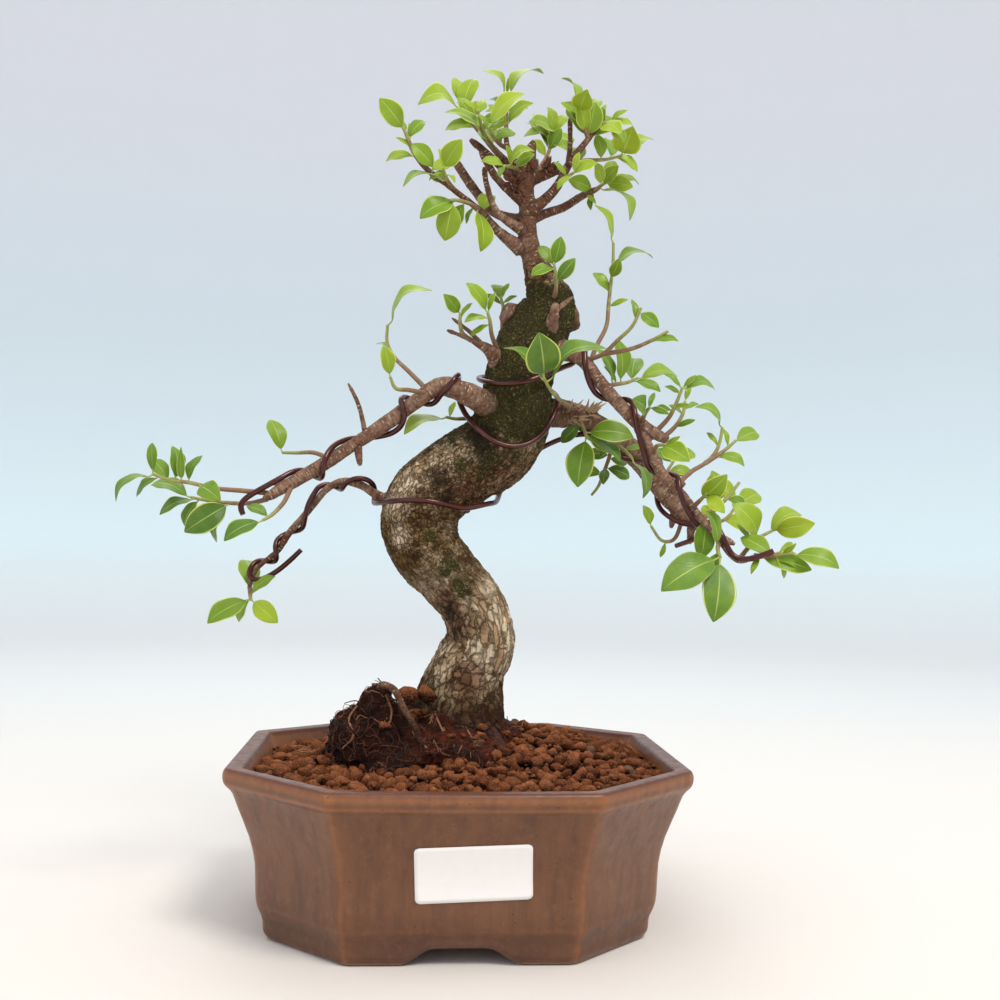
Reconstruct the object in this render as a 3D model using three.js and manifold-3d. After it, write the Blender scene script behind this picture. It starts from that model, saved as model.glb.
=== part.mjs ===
// A ficus bonsai in an octagonal glazed pot, in millimetres, +Z up.
// The tree is set out round the pot's axis, and the viewer stands on the -Y side.
import * as THREE from "three";
import { mergeVertices } from "three/addons/utils/BufferGeometryUtils.js";
import Module from "manifold-3d";

const wasm = await Module();
wasm.setup();

// Driving sizes
const GAP = 0.3; // air between two pieces that touch
const RIM_HALF = 88; // pot axis to a straight side of the rim
const RIM_SIDE = 95; // length of a straight side of the rim
const POT_HEIGHT = 62.5;
const RIM_LIFT = 1.4; // how much the rim warps up on the left and right
const POT_FLOOR = 10;
const FOOT_WIDTH = 9;
const ARCH = { width: 43, flat: 18, height: 5.8 }; // between the feet, on each straight side
const DRAIN = { radius: 6, offset: 30, sides: 12 };
const SCREEN = { side: 26, thickness: 0.8, bars: 3, barWidth: 2.5 };
const LABEL = { width: 41, height: 20, thickness: 0.6, cutCorner: 1, x: 3.6, z: 33.4, tilt: 2.4, strips: 5 };
const SOIL_LEVEL = 57;
const SOIL_RISE = 4; // how much the soil swells towards the middle
const HEAP = { x: 22, y: 0, rise: 13, spread: 34 }; // soil banked up against the trunk
const GRANULE = { pitch: 8.4, crest: 1.5, hollow: -1.3, jitter: 1.6 };
const ROOT_BALL = { x: -11, y: -3, z: 62, across: 41, deep: 38, above: 17, leftRise: 12, below: 30 };
const KNOBS = [ // middle and half sizes of the lumps on the left of the root ball
  { middle: [-34, -16, 70], half: [18, 17, 14.5] },
  { middle: [-32.5, -21, 81], half: [8.5, 8.5, 12] },
];
const WIRE_RADIUS = 1.1;
const WIRE_SIDES = 5;
const LEAF_THICKNESS = 0.7;
const LEAF_WIDTH = 0.5; // of the leaf's length
const SMALLEST_LEAF = 10; // leaves shorter than this are only opening buds
const TWIG_RADIUS = { foot: 1.2, tip: 0.7 };

const VIEWER = new THREE.Vector3(0, -1, 0);
const UP = new THREE.Vector3(0, 0, 1);

// Finishes
const finish = (color, roughness, metalness = 0) =>
  new THREE.MeshStandardMaterial({ color, roughness, metalness, flatShading: true });
const GLAZE = finish("#6b5145", 0.45);
const SOIL = finish("#7a4128", 0.95);
const PEAT = finish("#2b1913", 0.95);
const BARK = finish("#8b7c63", 0.9);
const LEAF = finish("#6aa32c", 0.45);
const WIRE = finish("#5a2f28", 0.35, 0.8);
const PAPER = finish("#f4f4f2", 0.5);
const MESH_PLASTIC = finish("#2c2f30", 0.6);

// Wood routes: points [x, y, z, radius]
const TRUNK = [
  [2, 0, 52, 20], [2, 0, 64, 19.6], [1, 0, 76, 18.8], [1.5, 0, 86, 17.4], [5, -1, 98, 15.2],
  [9, -3, 108, 14], [6, -2, 121, 13.4], [-4, 1, 134, 13.4], [-14, 4, 145, 14.9],
  [-17, 5, 156, 16.2], [-13, 5, 168, 16.2], [1, 4, 179, 15.9], [14, 1, 188, 16.3],
  [20.5, -1, 200, 15.6], [22, -2, 214, 14], [26, -2, 228, 13.9], [31.5, -1, 240, 13],
  [35, 0, 249, 10.5], [32, 1, 257, 7.8], [29, 1, 265, 5.5], [26, 0, 275, 4],
  [25, 0, 290, 3.6], [23, 0, 300, 4.4], [25, 0, 309, 3.4], [27, -2, 317, 1.5],
];
const LEFT_HIGH = [
  [20, -4, 202, 7], [8.7, -10, 205, 5.6], [-1, -13, 209, 4.5], [-10, -13, 211, 3.9],
  [-20, -12, 204.5, 3.1], [-30, -13, 196.5, 3.2], [-44, -15, 186.5, 2.6], [-55, -18, 178.5, 2.8],
  [-68, -21, 170, 2.6], [-78, -24, 163.5, 1.9],
];
const LEFT_LOW = [
  [-20, 3, 156, 4], [-31, 4, 165, 2.6], [-36, 6, 168, 2], [-42, 8, 171.5, 1.8],
  [-49, 10, 173, 1.8], [-56, 12, 170, 1.6], [-62, 15, 163, 1.5], [-67, 17, 157, 1.5],
  [-72, 18, 151, 1.5], [-77, 19, 143, 1.3], [-82, 20, 139, 1.1], [-86, 20, 135, 1.1],
  [-88, 20, 130, 1], [-88, 20, 125, 0.9],
];
const RIGHT_HIGH = [
  [31, -4, 231, 5], [40, -8, 228, 4.4], [47, -13, 224, 3], [54, -18, 214, 2.8],
  [62, -22, 204, 2.7], [70, -25, 196, 2.9], [80, -28, 190, 2],
];
const RIGHT_FRONT = [
  [69, -25, 195, 2.4], [73, -28, 186, 2.1], [77, -31, 177, 2.2], [84, -34, 169, 2],
  [90, -37, 161, 1.6], [98, -40, 151, 1.4], [105, -42, 143, 1.1], [112, -43, 145, 1],
];
const RIGHT_BACK = [
  [32, 3, 204, 6], [46, 12, 204, 5.6], [61, 21, 199, 5.3], [75, 25, 190, 5.1],
  [85, 27, 180, 4.9], [92, 28, 171, 4.5], [101, 27, 162, 3.6], [113, 24, 154, 2.2],
  [121, 22, 150, 1.3],
];
const CROWN_LIMBS = [
  [[23, 0, 271, 3.4], [12, -2, 279, 2], [6, -4, 285, 1.5], [-7, -10, 293, 1.25],
    [-19, -16, 300, 1.1], [-24, -18, 307, 0.9]],
  [[25, -1, 286, 2.9], [36, -4, 296, 2.1], [42, -7, 307, 1.7], [49, -10, 316, 1.3], [52, -11, 320, 1]],
  [[26, 1, 284, 2.5], [33, 4, 288, 2.1], [41, 8, 292, 1.9], [50, 13, 299, 1.7], [58, 17, 304, 1.2]],
  [[24, 2, 302, 2.5], [15, 8, 312, 1.7], [7, 14, 323, 1.2]],
  [[24, 2, 305, 2.1], [17, 5, 315, 1.3], [16, 7, 322, 1.1]],
  [[25, 3, 298, 2.5], [28, 9, 304, 1.7], [30, 14, 309, 1.3]],
  [[14, -6, 221, 4.1], [10, -12, 226, 2.8], [1, -16, 230, 1], [-8, -18, 233, 0.8]],
  [[20, 4, 226, 3.4], [18, 8, 234, 2.5], [17, 12, 242, 1.8], [17, 15, 248, 1.3]],
];
// Cut stubs and dead ends
const STUBS = [
  [[24, 2, 284, 2.5], [12, 6, 288, 2.1], [3, 10, 299, 2.1], [-6, 13, 313, 1.9]],
  [[25, -1, 278, 2.8], [12, -6, 285, 1.5], [7, -10, 296, 1.2], [6, -11, 302, 1.2]],
  [[41, -7, 305, 1.3], [42, -5, 315, 1.1], [42, -4, 327, 1.1]],
  [[22, -2, 302, 3.4], [21, -6, 307, 2.5]],
  [[26, 4, 303, 3.4], [28, 8, 312, 2.6]],
  [[26, 0, 301, 3], [38, 0, 306, 2.1]],
  [[24, 0, 290, 2], [12, 0, 301, 1.7], [5, -1, 312, 1.7]],
  [[24, 1, 296, 2], [10, 7, 312, 1.7], [1, 9, 320, 1.6]],
  [[23, 0, 242, 5.9], [16, -3, 244, 4.6]],
  [[38, 2, 242, 6.8], [47, 3, 244, 5.1]],
  [[34, -8, 233, 3.7], [35, -15, 240, 2.4], [36, -16, 246, 1.6]],
  [[36, -15, 243, 1.3], [43, -14, 249, 0.8]],
  [[9, -12, 226, 1.2], [2, -13, 233, 0.9], [-6, -13, 239, 0.7]],
  [[-42.5, -15, 186, 1.8], [-41.5, -17, 178, 1.3]],
  [[-39.5, -14.5, 190, 1.1], [-42.5, -14, 202, 0.9], [-47, -14, 211, 0.7]],
  [[-66, -20, 172, 1.2], [-71, -14, 171, 1], [-76, -11, 170, 0.8]],
  [[37, 6, 203, 5.6], [48, 10, 203.5, 5.2], [57, 14, 202, 4.2]],
  [[96, 30, 166, 2], [95, 33, 157, 1.3]],
  [[103, 28, 159, 2.2], [103, 31, 150, 1.4]],
  [[80, -31, 169, 1.6], [86, -33, 173, 1.2]],
];
// Thick roots that leave the trunk's foot and dip into the root ball
const ROOTS = [
  [[-4, -6, 74, 7], [-18, -14, 74, 2.4], [-28, -20, 82, 2], [-31, -25, 92, 1.6], [-26, -29, 91, 1.5],
    [-22, -31, 84, 1.4], [-17, -33, 76, 1.3], [-15, -32, 67, 1.2]],
  [[8, -8, 72, 7], [16, -22, 66, 4], [20, -33, 58, 2.4]],
  [[12, 4, 72, 7], [30, 8, 66, 4], [42, 10, 57, 2.4]],
  [[0, 10, 74, 7], [-8, 28, 68, 4], [-12, 40, 57, 2.4]],
  [[-8, 4, 76, 7], [-30, 10, 74, 4], [-46, 14, 58, 2.4]],
];

// Leafy stems: name, then a twig's points [x, y, z] and its leaves, once or twice.
// A leaf is [place along the twig in percent, dx, dy, dz to its tip,
// turn in degrees (0 faces the viewer, 90 faces up), bow in percent of its length].
const LEAFY_STEMS = [
  ["crown_left_end",
    [[-19, -16, 300], [-24, -18, 307], [-26, -20, 311], [-28, -21, 315]],
    [[85, -10, -7, 10, 0, 8], [65, 7, 3, 9, 35, 10], [40, -7, -2, 4, 40, 10], [75, -6, 2, 8, 55, 10]]],
  ["crown_left_fork",
    [[-12, -10, 296], [-17, -9, 301], [-22, -8, 306], [-25, -8, 311]],
    [[95, 8, -5, -8, 20, 12], [75, -12, 3, -2, 45, 12], [100, 0, 2, 10, 45, 10]]],
  ["crown_left_middle",
    [[-6, -8, 293], [-9, -14, 295], [-11, -19, 298]],
    [[100, 7, -10, 9, 0, 10], [90, -6, 3, -3, 40, 10], [80, 4, -6, -5, 50, 10],
      [55, -18, -5, -5, 75, 20], [100, -2, 2, 9, 40, 10]]],
  ["crown_left_low",
    [[7, -2, 285], [1, -9, 287], [-5, -14, 287], [-8, -17, 286]],
    [[80, -15, -4, -9, 25, 12], [90, -3, 4, -16, 0, 10], [35, -3, 2, -7, 45, 10], [25, 2, -4, -19, 50, 10]]],
  ["crown_back_left",
    [[7, 14, 323], [2, 17, 330], [-2, 20, 336], [-4, 22, 341]],
    [[85, -19, -5, -1, 45, 28], [100, -2, 3, 12, 30, 10], [75, 5, 4, 17, 30, 10],
      [40, -7, -3, 10, 35, 10], [30, -13, 3, -1, 40, 15]]],
  ["crown_top_left",
    [[15, 8, 312], [10, 2, 315], [6, -3, 319], [3, -9, 326]],
    [[50, -18, -5, 9, 60, 16], [65, -6, 2, 7, 40, 10], [100, 3, 5, 7, 40, 10],
      [85, 10, -2, -1, 15, 15], [100, -6, -3, 3, 30, 10]]],
  ["crown_top",
    [[16, 7, 322], [16, 7, 329], [16, 6, 335], [16, 5, 339]],
    [[95, -11, -4, 9, 65, 22], [100, 16, 5, 12, 70, 22], [100, 0, -5, 5, 40, 5],
      [60, 9, -2, 1, 15, 15], [45, -9, 2, 3, 30, 15]]],
  ["crown_top_front",
    [[17, 4, 315], [12, -6, 314], [8, -13, 316], [7, -16, 317]],
    [[100, 14, -5, 13, 50, 10], [85, 8, -2, 4, 35, 10], [70, 9, 2, 2, 35, 10], [90, -5, -2, 6, 40, 10]]],
  ["crown_knob_front",
    [[23, -2, 304], [18, -9, 303], [14, -14, 302]],
    [[85, 11, -3, 6, 55, 25], [95, -10, -2, 1, 40, 10], [100, -2, -6, -7, 45, 10]]],
  ["crown_back_right",
    [[30, 14, 309], [35, 22, 318], [38, 28, 327], [39, 31, 332]],
    [[85, -9, 4, 13, 55, 10], [80, -13, -3, 1, 50, 30], [65, -10, 4, 13, 60, 10],
      [100, 6, 4, 10, 30, 10], [75, 11, 3, 4, 20, 10], [100, -3, -3, 11, 40, 10]]],
  ["crown_right_top",
    [[49, -10, 316], [47, -13, 319], [45, -15, 323], [44, -16, 327]],
    [[95, -7, 4, 14, 70, 18], [40, -10, -3, 9, 40, 10], [90, 1, -15, 3, 0, 8], [60, 8, 8, 12, 35, 10]]],
  ["crown_right_end",
    [[52, -11, 320], [54, -14, 321], [57, -16, 321]],
    [[95, 7, -2, 5, 40, 10], [40, 7, -11, -7, 10, 10], [100, 10, 2, 0, 45, 12],
      [65, 1, 2, 9, 45, 20], [90, 5, 4, -6, 0, 10]]],
  ["crown_right_fan",
    [[42, -7, 307], [50, -4, 309], [58, 0, 311], [65, 3, 314]],
    [[100, 2, -16, 7, 0, 8], [100, 15, 4, 9, 55, 15], [60, -3, -3, 10, 20, 10],
      [80, -1, 7, 11, 30, 10], [90, 10, 3, -5, 40, 12]]],
  ["crown_right_low",
    [[50, 13, 299], [55, 15, 302], [60, 17, 306], [63, 18, 308]],
    [[40, -12, -4, 3, 5, 10], [80, 12, -3, -2, 0, 10], [95, 14, 3, 0, 60, 15],
      [60, 13, -5, -16, 70, 25], [35, -1, -2, -9, 40, 10], [100, 1, 4, 10, 25, 10]]],
  ["crown_right_front",
    [[38, -4, 300], [40, -12, 299], [42, -18, 299]],
    [[90, 10, -3, 4, 40, 10], [85, -6, -2, -7, 30, 10], [100, 2, -2, 8, 25, 10]]],
  ["upper_trunk_sprig",
    [[35, -6, 247], [36, -13, 251], [36, -15, 256], [35, -16, 261]],
    [[100, 2, -5, 11, 0, 6], [100, -6, 3, 9, 15, 6], [95, -10, -3, -4, 40, 12], [65, 7, -5, 9, 0, 10]]],
  ["front_sprig",
    [[43.5, 6, 204], [43, -7, 205], [38, -19, 206], [33, -27, 209], [30, -31, 213]],
    [[100, -4, -16, 15, 0, 10], [95, -17, 5, 14, 70, 14], [95, 23, -7, 13, 75, 22], [100, -3, -3, 9, 60, 5]]],
  ["middle_left_outer",
    [[1, -16, 230], [-2, -19, 232], [-3, -21, 236], [-3, -22, 239]],
    [[100, -7, -8, 6, 0, 10], [85, 5, 2, 7, 40, 10]]],
  ["middle_left_front",
    [[13, -10, 227], [10, -17, 232], [9, -20, 237], [8, -21, 240]],
    [[100, -9, -4, 11, 40, 10], [90, -10, -3, -3, 55, 10], [75, -8, 2, -5, 30, 10], [100, 3, -2, 8, 35, 10]]],
  ["middle_left_back",
    [[17, 13, 243], [17, 17, 247], [17, 19, 251], [16, 20, 255]],
    [[90, -3, 8, 9, 25, 10], [100, 4, 3, 7, 35, 10], [75, -8, 2, 5, 20, 10], [80, 6, -3, 3, 25, 10]]],
  ["left_high_arch",
    [[-15, -13, 209], [-23, -11, 217], [-29, -9, 223], [-32, -8, 229], [-32, -8, 236]],
    [[100, 18, -6, 14, 75, 25], [75, -5, 7, 2, 60, 5]]],
  ["left_high_small",
    [[-16, -14, 208], [-23, -22, 208], [-28, -26, 208], [-30, -28, 212]],
    [[100, -3, -3, 12, 25, 8]]],
  ["left_high_under",
    [[9.5, 7, 201], [2, 7, 200.5], [-3, 5, 200], [-7, 0, 200]],
    [[100, -17.5, -9, -8.6, 65, 14], [90, 2.5, 4, 7.5, 30, 5]]],
  ["left_high_outer",
    [[-53, -17, 180], [-60, -12, 183], [-67, -9, 183], [-73, -8, 183]],
    [[100, -6, 4, 14, 35, 10]]],
  ["left_end_upper",
    [[-77, -21, 166], [-87, -26, 166.5], [-96, -29, 167], [-106, -28, 169], [-114, -27, 170], [-120, -27, 172]],
    [[100, 0, -3, 12, 40, 10], [85, -8, 6, 8, 25, 8], [100, -13, -4, -11, 65, 25], [95, -9, 3, -8, 60, 10],
      [80, -2, 3, 14, 60, 10], [75, 0, -3, 13, 60, 10], [70, 5, 3, 11, 55, 10], [60, 10, -11, -6, 20, 10]]],
  ["left_end_lower",
    [[-77, -22, 163.5], [-84, -18, 162], [-93, -15, 162], [-102, -13, 163], [-108, -12, 164]],
    [[50, -17, -5, -12, 0, 10], [90, -6, 3, -11, 40, 10], [95, -13, -4, -7, 60, 10],
      [100, -17, 4, 5, 60, 15], [60, -3, 4, -16, 60, 10]]],
  ["left_end_under",
    [[-68, -22, 168], [-70, -28, 162], [-74, -32, 157], [-77, -34, 155]],
    [[100, -14, -4, -8, 45, 10], [85, -9, 2, 4, 45, 10]]],
  ["left_low_end",
    [[-88, 20, 127], [-87, 14, 124], [-86, 9, 123]],
    [[10, -4, 15, 13, 35, 10], [40, 10, 3, 8, 55, 10], [85, -17, -5, -10, 35, 10],
      [100, 12, -7, -9, 10, 10], [55, -5, 3, -11, 50, 10]]],
  ["right_high_tall",
    [[50, -14, 220], [54, -6, 230], [59, -2, 240], [60, 0, 249], [61, 1, 258], [62, 2, 268], [62, 2, 276]],
    [[100, -9, -4, 15, 65, 14], [85, 18, 4, 5, 70, 20], [75, 2, -8, 7, 0, 8],
      [65, -7, 3, 9, 30, 10], [55, 8, -2, 3, 15, 10]]],
  ["right_high_upper",
    [[48, -14, 223], [55, -20, 225], [60, -25, 230], [65, -29, 235], [68, -31, 242]],
    [[95, 7, -5, -7, 0, 10], [85, -1, 4, 9, 20, 10]],
    [[55, -20, 225], [66, -23, 227], [75, -25, 231], [80, -26, 234]],
    [[70, 11, -3, 0, 55, 10]]],
  ["right_high_middle",
    [[55, -18, 212], [61, -11, 214], [68, -6, 216], [72, -4, 218]],
    [[40, -8, -4, 14, 60, 12], [60, -3, -5, 18, 45, 8], [85, 4, 13, 12, 25, 8],
      [100, 18, 4, 2, 60, 15], [90, 11, -3, -5, 40, 10], [50, -6, -2, 7, 35, 10]]],
  ["right_fan_upper",
    [[75, -26, 193], [80, -30, 199], [82, -33, 204], [84, -35, 210]],
    [[100, 5, -2, 5, 20, 10], [100, -7, 2, 6, 35, 10], [90, -7, -4, 2, 20, 10],
      [100, 14, 3, 0, 55, 25], [65, 5, -5, 0, 0, 10], [55, -6, 4, 2, 15, 10]]],
  ["right_fan_middle",
    [[78, -26, 191], [84, -22, 196], [88, -19, 202], [89, -18, 207]],
    [[40, 8, -2, 3, 10, 15], [100, 3, 3, 7, 30, 10], [85, 7, 4, 3, 35, 10], [75, -5, 4, 4, 30, 10]]],
  ["right_crook",
    [[70, -24, 197], [70, -32, 200], [71, -36, 202]],
    [[75, -8, -14, 3, 15, 8], [100, 7, -4, -3, 0, 10], [90, 3, 3, 7, 25, 10]]],
  ["right_front_upper",
    [[74, -29, 185], [74, -37, 187], [76, -42, 187]],
    [[80, 8, -14, -7, 0, 8], [100, 5, -4, 3, 0, 10]]],
  ["right_forked_stem",
    [[82, -33, 171], [90, -26, 178], [97, -21, 182], [102, -18, 187], [104, -17, 192], [105, -16, 197]],
    [[100, -12, -3, 8, 55, 25], [80, -4, 4, 6, 15, 10]],
    [[97, -21, 182], [105, -17, 187], [111, -15, 192]],
    [[95, 12, 8, 5, 30, 10], [35, 11, -3, -4, 45, 20], [75, -2, 2, 8, 20, 10]]],
  ["right_inner_large",
    [[47, 14, 207], [49, 8, 202], [51, 4, 197], [52, 2, 193]],
    [[85, 20, -5, -2, 30, 12], [95, -4, -5, -22, 25, 8], [100, 14, -4, -10, 55, 12]]],
  ["right_inner_dark",
    [[66, 24, 195], [67, 33, 189], [65, 38, 181], [63, 40, 175], [60, 40, 171]],
    [[55, 12, 5, -4, 20, 10], [65, -11, 3, 1, 25, 10], [35, -10, 3, 1, 0, 10]]],
  ["right_inner_arch",
    [[60, 20, 200], [64, 12, 193], [69, 8, 189], [72, 5, 185]],
    [[100, 4, -4, -17, 60, 20], [75, 9, 2, 1, 40, 10], [50, -6, -2, -7, 35, 10]]],
  ["right_back_upper",
    [[90, 29, 174], [92, 35, 179], [95, 39, 184], [98, 41, 188]],
    [[100, 11, 7, 4, 25, 10], [90, -6, 7, 7, 0, 10], [65, 12, 3, -1, 25, 10], [40, -7, 5, 4, 0, 10]]],
  ["right_back_long",
    [[99, 28, 161], [96, 30, 152], [89, 24, 151], [83, 18, 157]],
    [[100, -4, -2, 9, 25, 10], [55, -2, 2, -7, 0, 10]]],
  ["right_end_back",
    [[106, 26, 158], [114, 32, 159], [121, 36, 162], [126, 38, 168]],
    [[100, -10, 4, 12, 20, 10], [95, 14, 10, 7, 30, 10], [60, 13, 9, -2, 30, 10], [45, -5, 7, 8, 0, 10]]],
  ["right_front_fan",
    [[88, -36, 163], [90, -42, 166], [91, -47, 168]],
    [[60, 7, -12, 9, 0, 10], [95, 6, -6, -7, 0, 10], [100, 2, -2, 8, 25, 10]]],
  ["right_crossing",
    [[92, -38, 159], [98, -33, 163], [104, -30, 168], [109, -28, 174]],
    [[40, -1, 4, 15, 20, 12], [65, 9, 6, -3, 25, 10]]],
  ["right_hanging",
    [[98, -40, 150], [96, -46, 147], [96, -50, 144]],
    [[45, -6, -6, 14, 50, 10], [65, -4, 3, -10, 0, 12], [95, -24, -7, -13, 35, 10], [100, -4, -7, -24, 0, 8]]],
  ["right_end_upper",
    [[105, -42, 143], [110, -38, 148], [115, -35, 152], [121, -33, 155]],
    [[70, -12, -4, 13, 25, 16], [90, 15, 4, 8, 55, 20], [100, 14, -10, 3, 0, 12], [45, -5, 2, 8, 40, 10]]],
  ["right_end_tip",
    [[111, -43, 145], [117, -46, 145], [121, -47, 146], [125, -48, 146]],
    [[95, 17, -5, -5, 35, 16], [35, 17, 4, -5, 55, 12], [70, 4, -5, 4, 0, 10],
      [55, 4, 2, -9, 45, 10], [15, -4, -2, -7, 40, 10]]],
];

// Windings: stations [place on the route in points from its foot, angle in degrees round the wood],
// where 0 degrees faces the viewer. The wire's free ends are points [x, y, z].
const RIGHT_GUIDE = [...RIGHT_HIGH.slice(0, 5), ...RIGHT_FRONT.slice(1)];
const UPPER_WIRE = {
  leftEnd: [[-85.5, -26, 157.2], [-90, -28, 156], [-95, -27, 162.5], [-94, -24, 168.5], [-86.5, -22, 162.6],
    [-82, -25, 159.2], [-76.8, -28, 166.1], [-73.1, -25.5, 172.5], [-68, -22, 176.4]],
  left: [[7.5, -970], [7.3, -830], [7.15, -725], [6.1, -600], [4.6, -400], [4.5, -340], [3.3, -60],
    [2.6, -5], [2.4, 95], [2.3, 215]],
  trunk: [[12.3, -90], [12.1, -10], [12.55, 30], [13.3, 60], [13.8, 95], [14.25, 130], [14.3, 180],
    [13.9, 290], [13.9, 355], [14.25, 385], [14.75, 420]],
  right: [[1.3, -210], [1.7, -100], [2.4, 20], [2.8, 55], [3.5, 150], [3.9, 250], [4.45, 355], [5, 415],
    [5.6, 470], [6.8, 705], [7.35, 755], [8.2, 810], [8.8, 1040], [9.2, 1065], [10, 1120]],
  rightEnd: [[106, -46, 140], [110, -47, 141], [114, -48, 143], [117, -48, 147]],
};
const LOWER_WIRE = {
  leftEnd: [[-67, 20, 144], [-71, 22, 137], [-76, 24, 130], [-82, 25, 123], [-88, 24, 121], [-92, 18, 126]],
  left: [[11.1, -700], [9.25, -420], [8.3, -225], [7.75, -155], [7.2, -70], [6.15, 25], [5.5, 60],
    [4.6, 200], [3.95, 320], [3.25, 400], [2.5, 470], [1.75, 630]],
  trunk: [[9.25, -95], [9.45, -35], [9.8, 5], [10.5, 48], [11.2, 70], [11.4, 130], [12.3, 160]],
  right: [[1.3, 130], [1.5, 40], [2.75, 60], [3.35, 0], [4, -120], [4.9, -215], [5.3, -258], [5.75, -285],
    [6.3, -330], [6.8, -480], [6.7, -590]],
  rightEnd: [[103.3, 22, 149.5], [94.4, 20, 148.8]],
};

// Solids and meshes

function toSolid(geometry) {
  const bare = geometry.clone();
  bare.deleteAttribute("normal");
  bare.deleteAttribute("uv");
  const merged = mergeVertices(bare, 1e-4);
  return new wasm.Manifold(
    new wasm.Mesh({
      numProp: 3,
      vertProperties: merged.attributes.position.array,
      triVerts: new Uint32Array(merged.index.array),
    }),
  );
}

function toMesh(name, solid, material) {
  const made = solid.getMesh();
  const geometry = new THREE.BufferGeometry();
  geometry.setAttribute("position", new THREE.BufferAttribute(made.vertProperties, 3));
  geometry.setIndex(new THREE.BufferAttribute(made.triVerts, 1));
  geometry.computeVertexNormals();
  const mesh = new THREE.Mesh(geometry, material);
  mesh.name = name;
  return mesh;
}

const largestBody = (solid) =>
  solid.decompose().sort((a, b) => b.volume() - a.volume())[0];

const joined = (solids) => solids.reduce((whole, solid) => whole.add(solid));

function reshape(geometry, place) {
  const position = geometry.attributes.position;
  const at = new THREE.Vector3();
  for (let i = 0; i < position.count; i++) {
    place(at.fromBufferAttribute(position, i), i);
    position.setXYZ(i, at.x, at.y, at.z);
  }
  return geometry;
}

// Draws that repeat from run to run
function seededDraw(seed) {
  let state = seed;
  return () => {
    state = (state * 16807) % 2147483647;
    return state / 2147483647;
  };
}

// Wood

// A route's curve, and its radius where the curve's own parameter stands at t.
function woodRoute(points) {
  const curve = new THREE.CatmullRomCurve3(points.map(([x, y, z]) => new THREE.Vector3(x, y, z)));
  const radius = (t) => {
    const place = t * (points.length - 1);
    const i = Math.min(Math.floor(place), points.length - 2);
    return THREE.MathUtils.lerp(points[i][3], points[i + 1][3], place - i);
  };
  return { curve, radius, length: curve.getLength() };
}

// Low ridges along the bark and swellings between them, on wood over 3 mm thick.
function barkRelief(angle, along, radius) {
  const ridges = Math.sin(3 * angle + along / 9) * Math.sin(5 * angle - along / 13);
  const swelling = Math.sin(along / 7 + 2 * angle);
  return radius > 3 ? 1 + 0.035 * ridges + 0.03 * swelling : 1;
}

// A tapered tube along a route, from a cylinder bent onto it. Grown by extra on all sides.
function woodTube(points, sides, ringsPerPoint, extra = 0) {
  const route = woodRoute(points);
  const rings = (points.length - 1) * ringsPerPoint;
  const frames = route.curve.computeFrenetFrames(rings, false);
  const tube = new THREE.CylinderGeometry(1, 1, 1, sides, rings);
  reshape(tube, (at) => {
    const along = at.y + 0.5;
    const ring = Math.round(along * rings);
    const across = at.x;
    const deep = -at.z;
    const middle = route.curve.getPointAt(along);
    const radius = route.radius(route.curve.getUtoTmapping(along));
    const relief = barkRelief(Math.atan2(deep, across), along * route.length, radius);
    const reach = radius * relief + extra;
    const past = along === 0 ? -extra : along === 1 ? extra : 0;
    at.copy(middle)
      .addScaledVector(frames.normals[ring], across * reach)
      .addScaledVector(frames.binormals[ring], deep * reach)
      .addScaledVector(frames.tangents[ring], past);
  });
  return toSolid(tube);
}

function treeWood(extra = 0) {
  return joined([
    woodTube(TRUNK, 11, 1.5, extra),
    woodTube(LEFT_HIGH, 6, 1, extra),
    woodTube(LEFT_LOW, 5, 1, extra),
    woodTube(RIGHT_HIGH, 6, 1, extra),
    woodTube(RIGHT_FRONT, 6, 1, extra),
    woodTube(RIGHT_BACK, 6, 1, extra),
    ...CROWN_LIMBS.map((limb) => woodTube(limb, 5, 1, extra)),
    ...STUBS.map((stub) => woodTube(stub, 4, 1, extra)),
    ...ROOTS.map((root) => woodTube(root, 5, 1, extra)),
  ]);
}

// Leaves and their stems

function twig(points) {
  const last = points.length - 1;
  const tapered = points.map((point, i) => [
    ...point,
    THREE.MathUtils.lerp(TWIG_RADIUS.foot, TWIG_RADIUS.tip, i / last),
  ]);
  return woodTube(tapered, 4, 1);
}

// A blade drawn out from a thin disc: its foot on the twig, bowed along its length
// and folded up a little on both sides of the midrib.
function leaf(foot, [, dx, dy, dz, turn, bow]) {
  const along = new THREE.Vector3(dx, dy, dz);
  const length = along.length();
  along.divideScalar(length);
  const facing = VIEWER.clone().addScaledVector(along, -VIEWER.dot(along)).normalize();
  const rising = UP.clone().addScaledVector(along, -UP.dot(along));
  rising.addScaledVector(facing, -rising.dot(facing)).normalize();
  const angle = THREE.MathUtils.degToRad(turn);
  const normal = facing.multiplyScalar(Math.cos(angle)).addScaledVector(rising, Math.sin(angle));
  const side = along.clone().cross(normal);
  const halfWidth = (LEAF_WIDTH * length) / 2;
  const rim = length > 20 ? 8 : 6;
  const disc = new THREE.CylinderGeometry(1, 1, LEAF_THICKNESS, rim, 1);
  disc.rotateY(Math.PI / 2); // a rim point at each end of the X axis
  reshape(disc, (at) => {
    const place = (at.x + 1) / 2;
    const stalk = place > 0.01 && place < 0.99 ? 0.1 * (1 - place) : 0;
    const width = halfWidth * (1 - Math.abs(2 * place - 1) ** 2.2) * Math.sign(Math.round(at.z * 9));
    const lift = (bow / 100) * length * 4 * place * (1 - place) + 0.2 * Math.abs(width) + at.y;
    at.copy(foot)
      .addScaledVector(along, (place + stalk) * length)
      .addScaledVector(side, width)
      .addScaledVector(normal, lift);
  });
  return toSolid(disc);
}

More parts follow.
